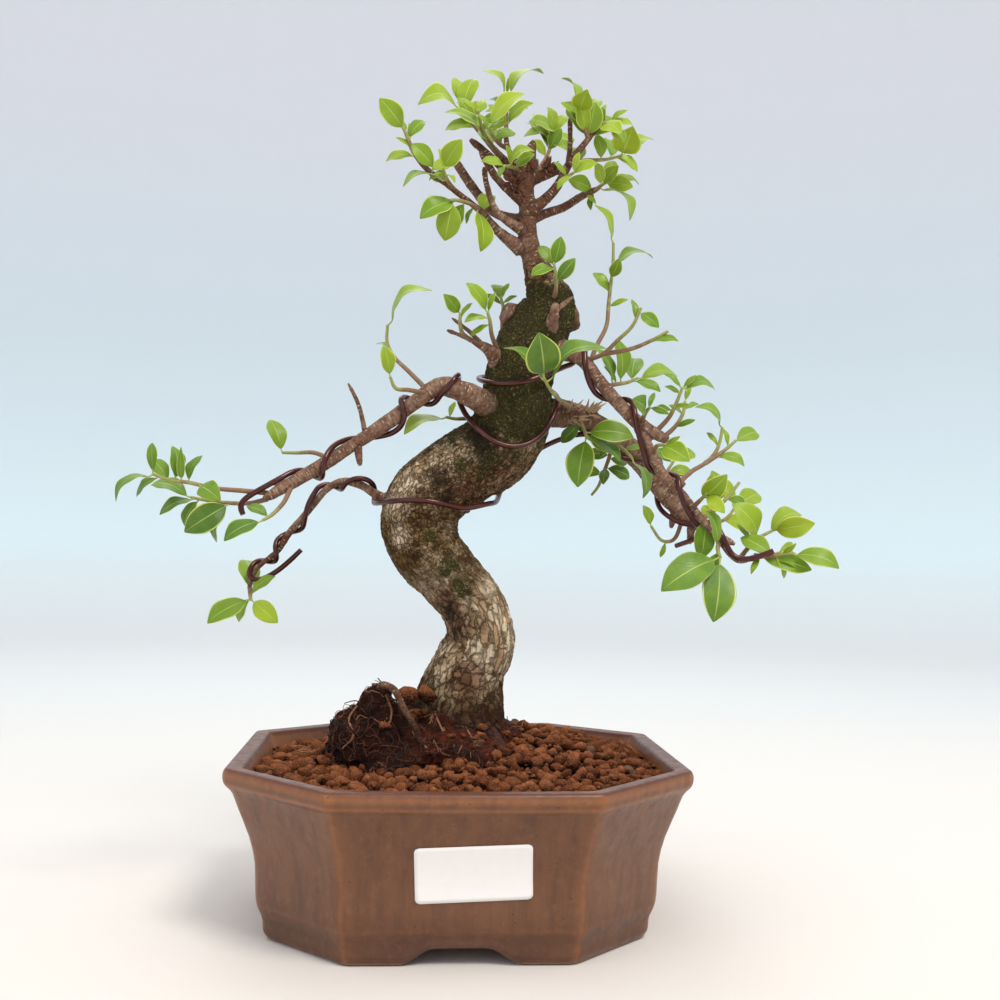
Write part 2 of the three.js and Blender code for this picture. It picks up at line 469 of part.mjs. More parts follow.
function leafyStem([, ...branches]) {
  const solids = [];
  for (let i = 0; i < branches.length; i += 2) {
    const [points, leaves] = [branches[i], branches[i + 1]];
    const { curve } = woodRoute(points);
    solids.push(twig(points));
    for (const one of leaves)
      if (Math.hypot(one[1], one[2], one[3]) > SMALLEST_LEAF)
        solids.push(leaf(curve.getPointAt(one[0] / 100), one));
  }
  return joined(solids);
}

// Wire

// Points round a route's wood, just clear of it.
function wound(points, stations, pointsPerTurn) {
  const route = woodRoute(points);
  const chord = Math.cos(Math.PI / pointsPerTurn);
  const made = [];
  for (let i = 1; i < stations.length; i++) {
    const [[from, start], [to, end]] = [stations[i - 1], stations[i]];
    const turning = (Math.abs(end - start) / 360) * pointsPerTurn;
    const steps = Math.ceil(Math.max(turning, 1.5 * Math.abs(to - from)));
    for (let k = i === 1 ? 0 : 1; k <= steps; k++) {
      const t = THREE.MathUtils.lerp(from, to, k / steps) / (points.length - 1);
      const angle = THREE.MathUtils.degToRad(THREE.MathUtils.lerp(start, end, k / steps));
      const tangent = route.curve.getTangent(t);
      const front = VIEWER.clone().addScaledVector(tangent, -VIEWER.dot(tangent)).normalize();
      const side = tangent.clone().cross(front);
      const reach = (route.radius(t) * 1.14 + WIRE_RADIUS + GAP) / chord;
      made.push(
        route.curve
          .getPoint(t)
          .addScaledVector(front, Math.cos(angle) * reach)
          .addScaledVector(side, Math.sin(angle) * reach),
      );
    }
  }
  return made;
}

const freeEnd = (points) => points.map((point) => new THREE.Vector3(...point));

function wireAlong(points) {
  const section = new THREE.Shape();
  for (let i = 0; i < WIRE_SIDES; i++) {
    const angle = (2 * Math.PI * i) / WIRE_SIDES;
    const [x, y] = [WIRE_RADIUS * Math.cos(angle), WIRE_RADIUS * Math.sin(angle)];
    if (i === 0) section.moveTo(x, y);
    else section.lineTo(x, y);
  }
  const extrudePath = new THREE.CatmullRomCurve3(points, false, "centripetal");
  return new THREE.ExtrudeGeometry(section, { steps: points.length, extrudePath });
}

const ROUND_BRANCH = 7; // points per turn
const ROUND_TRUNK = 10;
const wirePoints = (wire, left, right) => [
  ...freeEnd(wire.leftEnd),
  ...wound(left, wire.left, ROUND_BRANCH),
  ...wound(TRUNK, wire.trunk, ROUND_TRUNK),
  ...wound(right, wire.right, ROUND_BRANCH),
  ...freeEnd(wire.rightEnd),
];

// Pot

const OUTLINE_POINTS = 24; // three at each corner, which soften it
const CORNER_SOFTNESS = 0.05; // of the distance from the axis
const CORNER_PULL = 0.996;
const REGULAR_WITHIN = 40; // nearer the axis than this, the slanted sides draw in with the rest

// A point of the octagon whose straight sides stand at the given distance from the axis.
function octagonPoint(index, distance) {
  const slantExtra = (RIM_HALF + RIM_SIDE / 2) / Math.SQRT2 - RIM_HALF;
  const slant = distance + slantExtra * Math.min(1, distance / REGULAR_WITHIN);
  const half = slant * Math.SQRT2 - distance;
  const corner = Math.floor(index / 3);
  const step = (index % 3) - 1;
  const quarter = Math.floor(corner / 2) * (Math.PI / 2);
  const second = corner % 2;
  const soft = CORNER_SOFTNESS * distance;
  const straight = new THREE.Vector2(0, soft);
  const slanted = new THREE.Vector2(-soft, soft).multiplyScalar(Math.SQRT1_2);
  const level = new THREE.Vector2(-soft, 0);
  const place = second ? new THREE.Vector2(half, distance) : new THREE.Vector2(distance, half);
  if (step < 0) place.sub(second ? slanted : straight);
  if (step > 0) place.add(second ? level : slanted);
  if (step === 0) place.multiplyScalar(CORNER_PULL);
  return place.rotateAround(new THREE.Vector2(), quarter);
}

// A closed profile of [distance, height] points, carried round the octagon.
function octagonBody(profile) {
  const points = profile.map(([distance, height]) => new THREE.Vector2(distance, height));
  const body = new THREE.LatheGeometry(points, OUTLINE_POINTS);
  reshape(body, (at, i) => {
    const [distance, height] = profile[i % profile.length];
    const index = Math.floor(i / profile.length) % OUTLINE_POINTS;
    const place = distance > 0 ? octagonPoint(index, distance) : new THREE.Vector2();
    const warp = Math.max(0, height - WARP_FROM) / (POT_HEIGHT - WARP_FROM);
    at.set(place.x, place.y, height + RIM_LIFT * warp * (place.x / RIM_HALF) ** 2);
  });
  return body;
}

const POT_OUTSIDE = [
  [70.5, 0], [72.3, 3], [72.6, 7.5], [75.2, 14], [75.8, 28], [78.2, 38],
  [84, 54], [87.6, 57.7], [88, 60.8], [86.8, POT_HEIGHT],
];
const POT_INSIDE = [[81.8, POT_HEIGHT], [80.4, 61], [73, 40], [69.8, 14], [66, POT_FLOOR], [0, POT_FLOOR]];
const WARP_FROM = 40; // height above which the wall follows the rim's warp

// An arch that runs under the pot from front to back.
function archCutter() {
  const outline = new THREE.Shape();
  const { width, flat, height } = ARCH;
  outline.moveTo(-width / 2, -1);
  outline.lineTo(-width / 2, 0);
  outline.quadraticCurveTo(-width / 3.2, height * 0.9, -flat / 2, height);
  outline.lineTo(flat / 2, height);
  outline.quadraticCurveTo(width / 3.2, height * 0.9, width / 2, 0);
  outline.lineTo(width / 2, -1);
  outline.closePath();
  const depth = 2 * RIM_HALF;
  const cutter = new THREE.ExtrudeGeometry(outline, { depth, bevelEnabled: false, curveSegments: 4 });
  return cutter.translate(0, 0, -depth / 2).rotateX(Math.PI / 2);
}

function drainHoles() {
  const { radius, offset, sides } = DRAIN;
  return [-1, 1].map((way) =>
    new THREE.CylinderGeometry(radius, radius, 2 * POT_FLOOR, sides)
      .rotateX(Math.PI / 2)
      .translate(way * offset, 0, POT_FLOOR),
  );
}

function potSolid() {
  const inFoot = POT_OUTSIDE[0][0] - FOOT_WIDTH;
  const underside = [[0, ARCH.height], [inFoot - 2, ARCH.height], [inFoot, 0]];
  const body = toSolid(octagonBody([...underside, ...POT_OUTSIDE, ...POT_INSIDE]));
  const cutters = [
    archCutter(),
    archCutter().rotateZ(Math.PI / 2),
    ...drainHoles(),
  ];
  return cutters.reduce((pot, cutter) => pot.subtract(toSolid(cutter)), body);
}

// A square grid of flat bars over a drain hole.
function drainScreen(way) {
  const { side, thickness, bars, barWidth } = SCREEN;
  const made = [];
  for (let i = 0; i < bars; i++) {
    const place = (i / (bars - 1) - 0.5) * (side - barWidth);
    const along = new THREE.BoxGeometry(side, barWidth, thickness).translate(0, place, 0);
    const across = new THREE.BoxGeometry(barWidth, side, thickness).translate(place, 0, 0);
    made.push(toSolid(along), toSolid(across));
  }
  return joined(made).translate([way * DRAIN.offset, 0, POT_FLOOR + GAP + thickness / 2]);
}

function screenRecess(way) {
  const { side, thickness } = SCREEN;
  const block = new THREE.BoxGeometry(side + 2 * GAP, side + 2 * GAP, 2 * (thickness + 2 * GAP));
  return toSolid(block.translate(way * DRAIN.offset, 0, POT_FLOOR));
}

// Soil and root ball

function soilHeight(x, y) {
  const fromHeap = Math.hypot(x - HEAP.x, y - HEAP.y) / HEAP.spread;
  const swell = SOIL_RISE * (1 - Math.hypot(x, y) / RIM_HALF);
  return SOIL_LEVEL + swell + HEAP.rise * Math.exp(-(fromHeap ** 2) / 2);
}

// A block whose top is covered with granules, larger than life: a crest stands
// on every second point of a square grid, and hollows lie between.
function granuleBlock() {
  const draw = seededDraw(20);
  const { pitch, crest, hollow, jitter } = GRANULE;
  const cells = Math.ceil((2 * RIM_HALF) / pitch);
  const block = new THREE.BoxGeometry(cells * pitch, cells * pitch, 1, cells, cells, 1);
  const tops = new Map();
  const topOf = (x, y) => {
    const [i, j] = [Math.round(x / pitch + cells / 2), Math.round(y / pitch + cells / 2)];
    const key = `${i} ${j}`;
    if (!tops.has(key)) {
      const bump = ((i + j) % 2 ? crest : hollow) + (draw() - 0.5) * jitter;
      tops.set(key, [x + (draw() - 0.5) * jitter, y + (draw() - 0.5) * jitter, bump]);
    }
    return tops.get(key);
  };
  reshape(block, (at) => {
    if (at.z < 0) at.z = 0;
    else {
      const [x, y, bump] = topOf(at.x, at.y);
      at.set(x, y, soilHeight(x, y) + bump);
    }
  });
  return toSolid(block);
}

// A lumpy mound that holds the trunk's foot.
function mound(extra) {
  const { x, y, z, across, deep, above, leftRise, below } = ROOT_BALL;
  const ball = new THREE.SphereGeometry(1, 12, 7);
  reshape(ball, (at) => {
    const angle = Math.atan2(at.y, at.x);
    const lumps = 1 + 0.06 * Math.sin(5 * angle + 3 * at.z) + 0.05 * Math.sin(9 * angle - 6 * at.z);
    const left = Math.max(0, -at.x);
    const high = at.z > 0 ? above + leftRise * left * (1 - 0.5 * left) : below;
    at.set(
      x + at.x * (across * lumps + extra),
      y + at.y * (deep * lumps + extra),
      z + at.z * (high * lumps + extra),
    );
  });
  return toSolid(ball);
}

function knob({ middle, half }, extra) {
  const ball = new THREE.SphereGeometry(1, 8, 5);
  ball.rotateX(Math.PI / 2);
  ball.scale(half[0] + extra, half[1] + extra, half[2] + extra);
  return toSolid(ball.translate(...middle));
}

// The mound with the lumps on its left.
const rootBall = (extra = 0) => joined([mound(extra), ...KNOBS.map((one) => knob(one, extra))]);

// The filling, as wide as the inside of the pot less a gap, with granules on top.
function soilSolid() {
  const wall = [...POT_INSIDE].reverse().slice(1, -1);
  const inset = 1.6 * GAP;
  const profile = [
    [0, POT_FLOOR + GAP],
    ...wall.map(([distance, height]) => [distance - inset, height + GAP]),
    [0, 1.4 * POT_HEIGHT],
  ];
  return toSolid(octagonBody(profile)).intersect(granuleBlock());
}

// Label

// Distance from the pot's axis to its outer wall, on a straight side.
function wallAt(height) {
  const above = POT_OUTSIDE.findIndex(([, z]) => z >= height);
  const [[nearer, low], [further, high]] = [POT_OUTSIDE[above - 1], POT_OUTSIDE[above]];
  return THREE.MathUtils.mapLinear(height, low, high, nearer, further);
}

// A thin plate with cut corners, turned a little and bent to the front wall.
function labelPlate() {
  const { width, height, thickness, cutCorner, x, z, tilt, strips } = LABEL;
  const turn = THREE.MathUtils.degToRad(tilt);
  const plate = new THREE.BoxGeometry(width, thickness, height, strips, 1, strips);
  return reshape(plate, (at) => {
    const isCorner = Math.hypot((2 * at.x) / width, (2 * at.z) / height) > 1.4;
    const pull = isCorner ? cutCorner : 0;
    const right = at.x - Math.sign(at.x) * pull;
    const up = at.z - Math.sign(at.z) * pull;
    at.x = x + right * Math.cos(turn) - up * Math.sin(turn);
    at.z = z + right * Math.sin(turn) + up * Math.cos(turn);
    at.y -= wallAt(at.z) + GAP + thickness / 2;
  });
}

// The parts, put together

const wood = treeWood();
const woodGrown = treeWood(GAP);
const bonsai = new THREE.Group();

bonsai.add(toMesh("pot", potSolid(), GLAZE));

for (const [name, way] of [["drain_screen_left", -1], ["drain_screen_right", 1]])
  bonsai.add(toMesh(name, drainScreen(way), MESH_PLASTIC));

const soil = soilSolid()
  .subtract(rootBall(GAP))
  .subtract(woodGrown)
  .subtract(screenRecess(-1))
  .subtract(screenRecess(1));
bonsai.add(toMesh("soil", largestBody(soil), SOIL));

bonsai.add(toMesh("root_ball", largestBody(rootBall().subtract(woodGrown)), PEAT));
bonsai.add(toMesh("trunk", wood, BARK));

for (const stem of LEAFY_STEMS)
  bonsai.add(toMesh(stem[0], largestBody(leafyStem(stem).subtract(woodGrown)), LEAF));

for (const [name, wire, left, right] of [
  ["wire_upper", UPPER_WIRE, LEFT_HIGH, RIGHT_GUIDE],
  ["wire_lower", LOWER_WIRE, LEFT_LOW, RIGHT_BACK],
])
  bonsai.add(toMesh(name, toSolid(wireAlong(wirePoints(wire, left, right))), WIRE));

bonsai.add(toMesh("label", toSolid(labelPlate()), PAPER));

// The origin is under the middle of the whole plant's box.
const box = new THREE.Box3().setFromObject(bonsai);
bonsai.position.set(-(box.min.x + box.max.x) / 2, -(box.min.y + box.max.y) / 2, -box.min.z);

export default bonsai;
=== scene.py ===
"""A kimmen ficus bonsai: the bark, leaves, wire, clay granules and glaze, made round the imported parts.

Places are written in millimetres from the pot's axis, with the viewer on the -Y side,
and spot() carries them into the shared frame, in metres."""

import math
import random

import bmesh
import bpy
import numpy as np
from mathutils import Matrix, Vector, noise
from mathutils.bvhtree import BVHTree


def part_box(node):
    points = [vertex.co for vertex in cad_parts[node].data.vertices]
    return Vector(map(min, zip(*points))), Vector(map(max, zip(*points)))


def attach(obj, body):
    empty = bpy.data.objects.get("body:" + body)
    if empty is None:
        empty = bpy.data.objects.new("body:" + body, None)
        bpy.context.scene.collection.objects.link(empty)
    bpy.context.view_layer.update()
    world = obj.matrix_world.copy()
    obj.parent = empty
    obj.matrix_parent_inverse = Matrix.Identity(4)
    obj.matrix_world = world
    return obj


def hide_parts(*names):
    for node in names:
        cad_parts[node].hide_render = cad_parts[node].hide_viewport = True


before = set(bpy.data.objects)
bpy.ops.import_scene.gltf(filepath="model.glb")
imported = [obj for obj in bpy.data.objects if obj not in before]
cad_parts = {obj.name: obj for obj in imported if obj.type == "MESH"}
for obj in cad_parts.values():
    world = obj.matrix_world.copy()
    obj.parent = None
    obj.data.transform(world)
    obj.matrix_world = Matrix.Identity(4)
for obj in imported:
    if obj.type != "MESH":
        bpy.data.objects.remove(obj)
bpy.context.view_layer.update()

MM = 0.001
POT_LOW, POT_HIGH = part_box("pot")
POT_AXIS = (POT_LOW + POT_HIGH) / 2

# The pot's sizes, in millimetres
POT_TOP = 62.5
RIM_HALF = 87.95
RIM_SIDE = 95
RIM_LIFT = 1.4
WARP_FROM = 40
FOOT_WIDTH = 9
ARCH = {"half": 21.5, "flat": 9, "height": 5.6}
UNDERSIDE = 5.8
LEDGE = 14
DRAIN = {"radius": 6, "offset": 30, "sides": 40, "middle": 8, "depth": 12}
SOFTNESS = {"wall": 6.5, "rim": 4.5, "rim_from": 54}
NARROW_FROM = 40
ARCHED_FROM = 55
OUTSIDE_FROM = 66
BARE_CLAY = {"within": 63, "below": 9}
CORNER_EXTRA = (RIM_HALF + RIM_SIDE / 2) / math.sqrt(2) - RIM_HALF
SOIL_LEVEL = 57
SOIL_RISE = 4
HEAP = {"x": 22, "y": 0, "rise": 13, "spread": 34}
ROOT_BALL = {"x": -11, "y": -3, "z": 62, "across": 41, "deep": 38, "above": 17, "left_rise": 12, "below": 30}
BED = {"edge": 77.2, "below": 3.4, "lump": 0.9}
KNOBS = (((-34, -16, 70), (17.5, 16.5, 14)), ((-32.5, -21, 81), (8.2, 8.2, 11.6)))
LABEL = {"width": 41, "height": 20, "corner": 1.6, "thickness": 0.25, "x": 3.6, "z": 33.4, "tilt": 2.4}
WIRE_RADIUS = 1.15
TWIG_RADIUS = {"foot": 1.15, "tip": 0.65}

# Wood routes: points [x, y, z, radius]
TRUNK = [
    [2, 0, 52, 20], [2, 0, 64, 19.6], [1, 0, 76, 18.8], [1.5, 0, 86, 17.4], [5, -1, 98, 15.2],
    [9, -3, 108, 14], [6, -2, 121, 13.4], [-4, 1, 134, 13.4], [-14, 4, 145, 14.9],
    [-17, 5, 156, 16.2], [-13, 5, 168, 16.2], [1, 4, 179, 15.9], [14, 1, 188, 16.3],
    [20.5, -1, 200, 15.6], [22, -2, 214, 14], [26, -2, 228, 13.9], [31.5, -1, 240, 13],
    [35, 0, 249, 10.5], [32, 1, 257, 7.8], [29, 1, 265, 5.5], [26, 0, 275, 4],
    [25, 0, 290, 3.6], [23, 0, 300, 4.4], [25, 0, 309, 3.4], [27, -2, 317, 1.5],
]
LEFT_HIGH = [
    [20, -4, 202, 7], [8.7, -10, 205, 5.6], [-1, -13, 209, 4.5], [-10, -13, 211, 3.9],
    [-20, -12, 204.5, 3.1], [-30, -13, 196.5, 3.2], [-44, -15, 186.5, 2.6], [-55, -18, 178.5, 2.8],
    [-68, -21, 170, 2.6], [-78, -24, 163.5, 1.9],
]
LEFT_LOW = [
    [-20, 3, 156, 4], [-31, 4, 165, 2.6], [-36, 6, 168, 2], [-42, 8, 171.5, 1.8],
    [-49, 10, 173, 1.8], [-56, 12, 170, 1.6], [-62, 15, 163, 1.5], [-67, 17, 157, 1.5],
    [-72, 18, 151, 1.5], [-77, 19, 143, 1.3], [-82, 20, 139, 1.1], [-86, 20, 135, 1.1],
    [-88, 20, 130, 1], [-88, 20, 125, 0.9],
]
RIGHT_HIGH = [
    [31, -4, 231, 5], [40, -8, 228, 4.4], [47, -13, 224, 3], [54, -18, 214, 2.8],
    [62, -22, 204, 2.7], [70, -25, 196, 2.9], [80, -28, 190, 2],
]
RIGHT_FRONT = [
    [69, -25, 195, 2.4], [73, -28, 186, 2.1], [77, -31, 177, 2.2], [84, -34, 169, 2],
    [90, -37, 161, 1.6], [98, -40, 151, 1.4], [105, -42, 143, 1.1], [112, -43, 145, 1],
]
RIGHT_BACK = [
    [32, 3, 204, 6], [46, 12, 204, 5.6], [61, 21, 199, 5.3], [75, 25, 190, 5.1],
    [85, 27, 180, 4.9], [92, 28, 171, 4.5], [101, 27, 162, 3.6], [113, 24, 154, 2.2],
    [121, 22, 150, 1.3],
]
CROWN_LIMBS = [
    [[23, 0, 271, 3.4], [12, -2, 279, 2], [6, -4, 285, 1.5], [-7, -10, 293, 1.25],
        [-19, -16, 300, 1.1], [-24, -18, 307, 0.9]],
    [[25, -1, 286, 2.9], [36, -4, 296, 2.1], [42, -7, 307, 1.7], [49, -10, 316, 1.3], [52, -11, 320, 1]],
    [[26, 1, 284, 2.5], [33, 4, 288, 2.1], [41, 8, 292, 1.9], [50, 13, 299, 1.7], [58, 17, 304, 1.2]],
    [[24, 2, 302, 2.5], [15, 8, 312, 1.7], [7, 14, 323, 1.2]],
    [[24, 2, 305, 2.1], [17, 5, 315, 1.3], [16, 7, 322, 1.1]],
    [[25, 3, 298, 2.5], [28, 9, 304, 1.7], [30, 14, 309, 1.3]],
    [[14, -6, 221, 4.1], [10, -12, 226, 2.8], [1, -16, 230, 1], [-8, -18, 233, 0.8]],
    [[20, 4, 226, 3.4], [18, 8, 234, 2.5], [17, 12, 242, 1.8], [17, 15, 248, 1.3]],
]
# Cut stubs and dead ends
STUBS = [
    [[24, 2, 284, 2.5], [12, 6, 288, 2.1], [3, 10, 299, 2.1], [-6, 13, 313, 1.9]],
    [[25, -1, 278, 2.8], [12, -6, 285, 1.5], [7, -10, 296, 1.2], [6, -11, 302, 1.2]],
    [[41, -7, 305, 1.3], [42, -5, 315, 1.1], [42, -4, 327, 1.1]],
    [[22, -2, 302, 3.4], [21, -6, 307, 2.5]],
    [[26, 4, 303, 3.4], [28, 8, 312, 2.6]],
    [[26, 0, 301, 3], [38, 0, 306, 2.1]],
    [[24, 0, 290, 2], [12, 0, 301, 1.7], [5, -1, 312, 1.7]],
    [[24, 1, 296, 2], [10, 7, 312, 1.7], [1, 9, 320, 1.6]],
    [[23, 0, 242, 5.9], [16, -3, 244, 4.6]],
    [[38, 2, 242, 6.8], [47, 3, 244, 5.1]],
    [[34, -8, 233, 3.7], [35, -15, 240, 2.4], [36, -16, 246, 1.6]],
    [[36, -15, 243, 1.3], [43, -14, 249, 0.8]],
    [[9, -12, 226, 1.2], [2, -13, 233, 0.9], [-6, -13, 239, 0.7]],
    [[-42.5, -15, 186, 1.8], [-41.5, -17, 178, 1.3]],
    [[-39.5, -14.5, 190, 1.1], [-42.5, -14, 202, 0.9], [-47, -14, 211, 0.7]],
    [[-66, -20, 172, 1.2], [-71, -14, 171, 1], [-76, -11, 170, 0.8]],
    [[37, 6, 203, 5.6], [48, 10, 203.5, 5.2], [57, 14, 202, 4.2]],
    [[96, 30, 166, 2], [95, 33, 157, 1.3]],
    [[103, 28, 159, 2.2], [103, 31, 150, 1.4]],
    [[80, -31, 169, 1.6], [86, -33, 173, 1.2]],
]
# Thick roots that leave the trunk's foot and dip into the root ball
ROOTS = [
    [[-4, -6, 74, 7], [-18, -14, 74, 2.4], [-28, -20, 82, 2], [-31, -25, 92, 1.6], [-26, -29, 91, 1.5],
        [-22, -31, 84, 1.4], [-17, -33, 76, 1.3], [-15, -32, 67, 1.2]],
    [[8, -8, 72, 7], [16, -22, 66, 4], [20, -33, 58, 2.4]],
    [[12, 4, 72, 7], [30, 8, 66, 4], [42, 10, 57, 2.4]],
    [[0, 10, 74, 7], [-8, 28, 68, 4], [-12, 40, 57, 2.4]],
    [[-8, 4, 76, 7], [-30, 10, 74, 4], [-46, 14, 58, 2.4]],
]

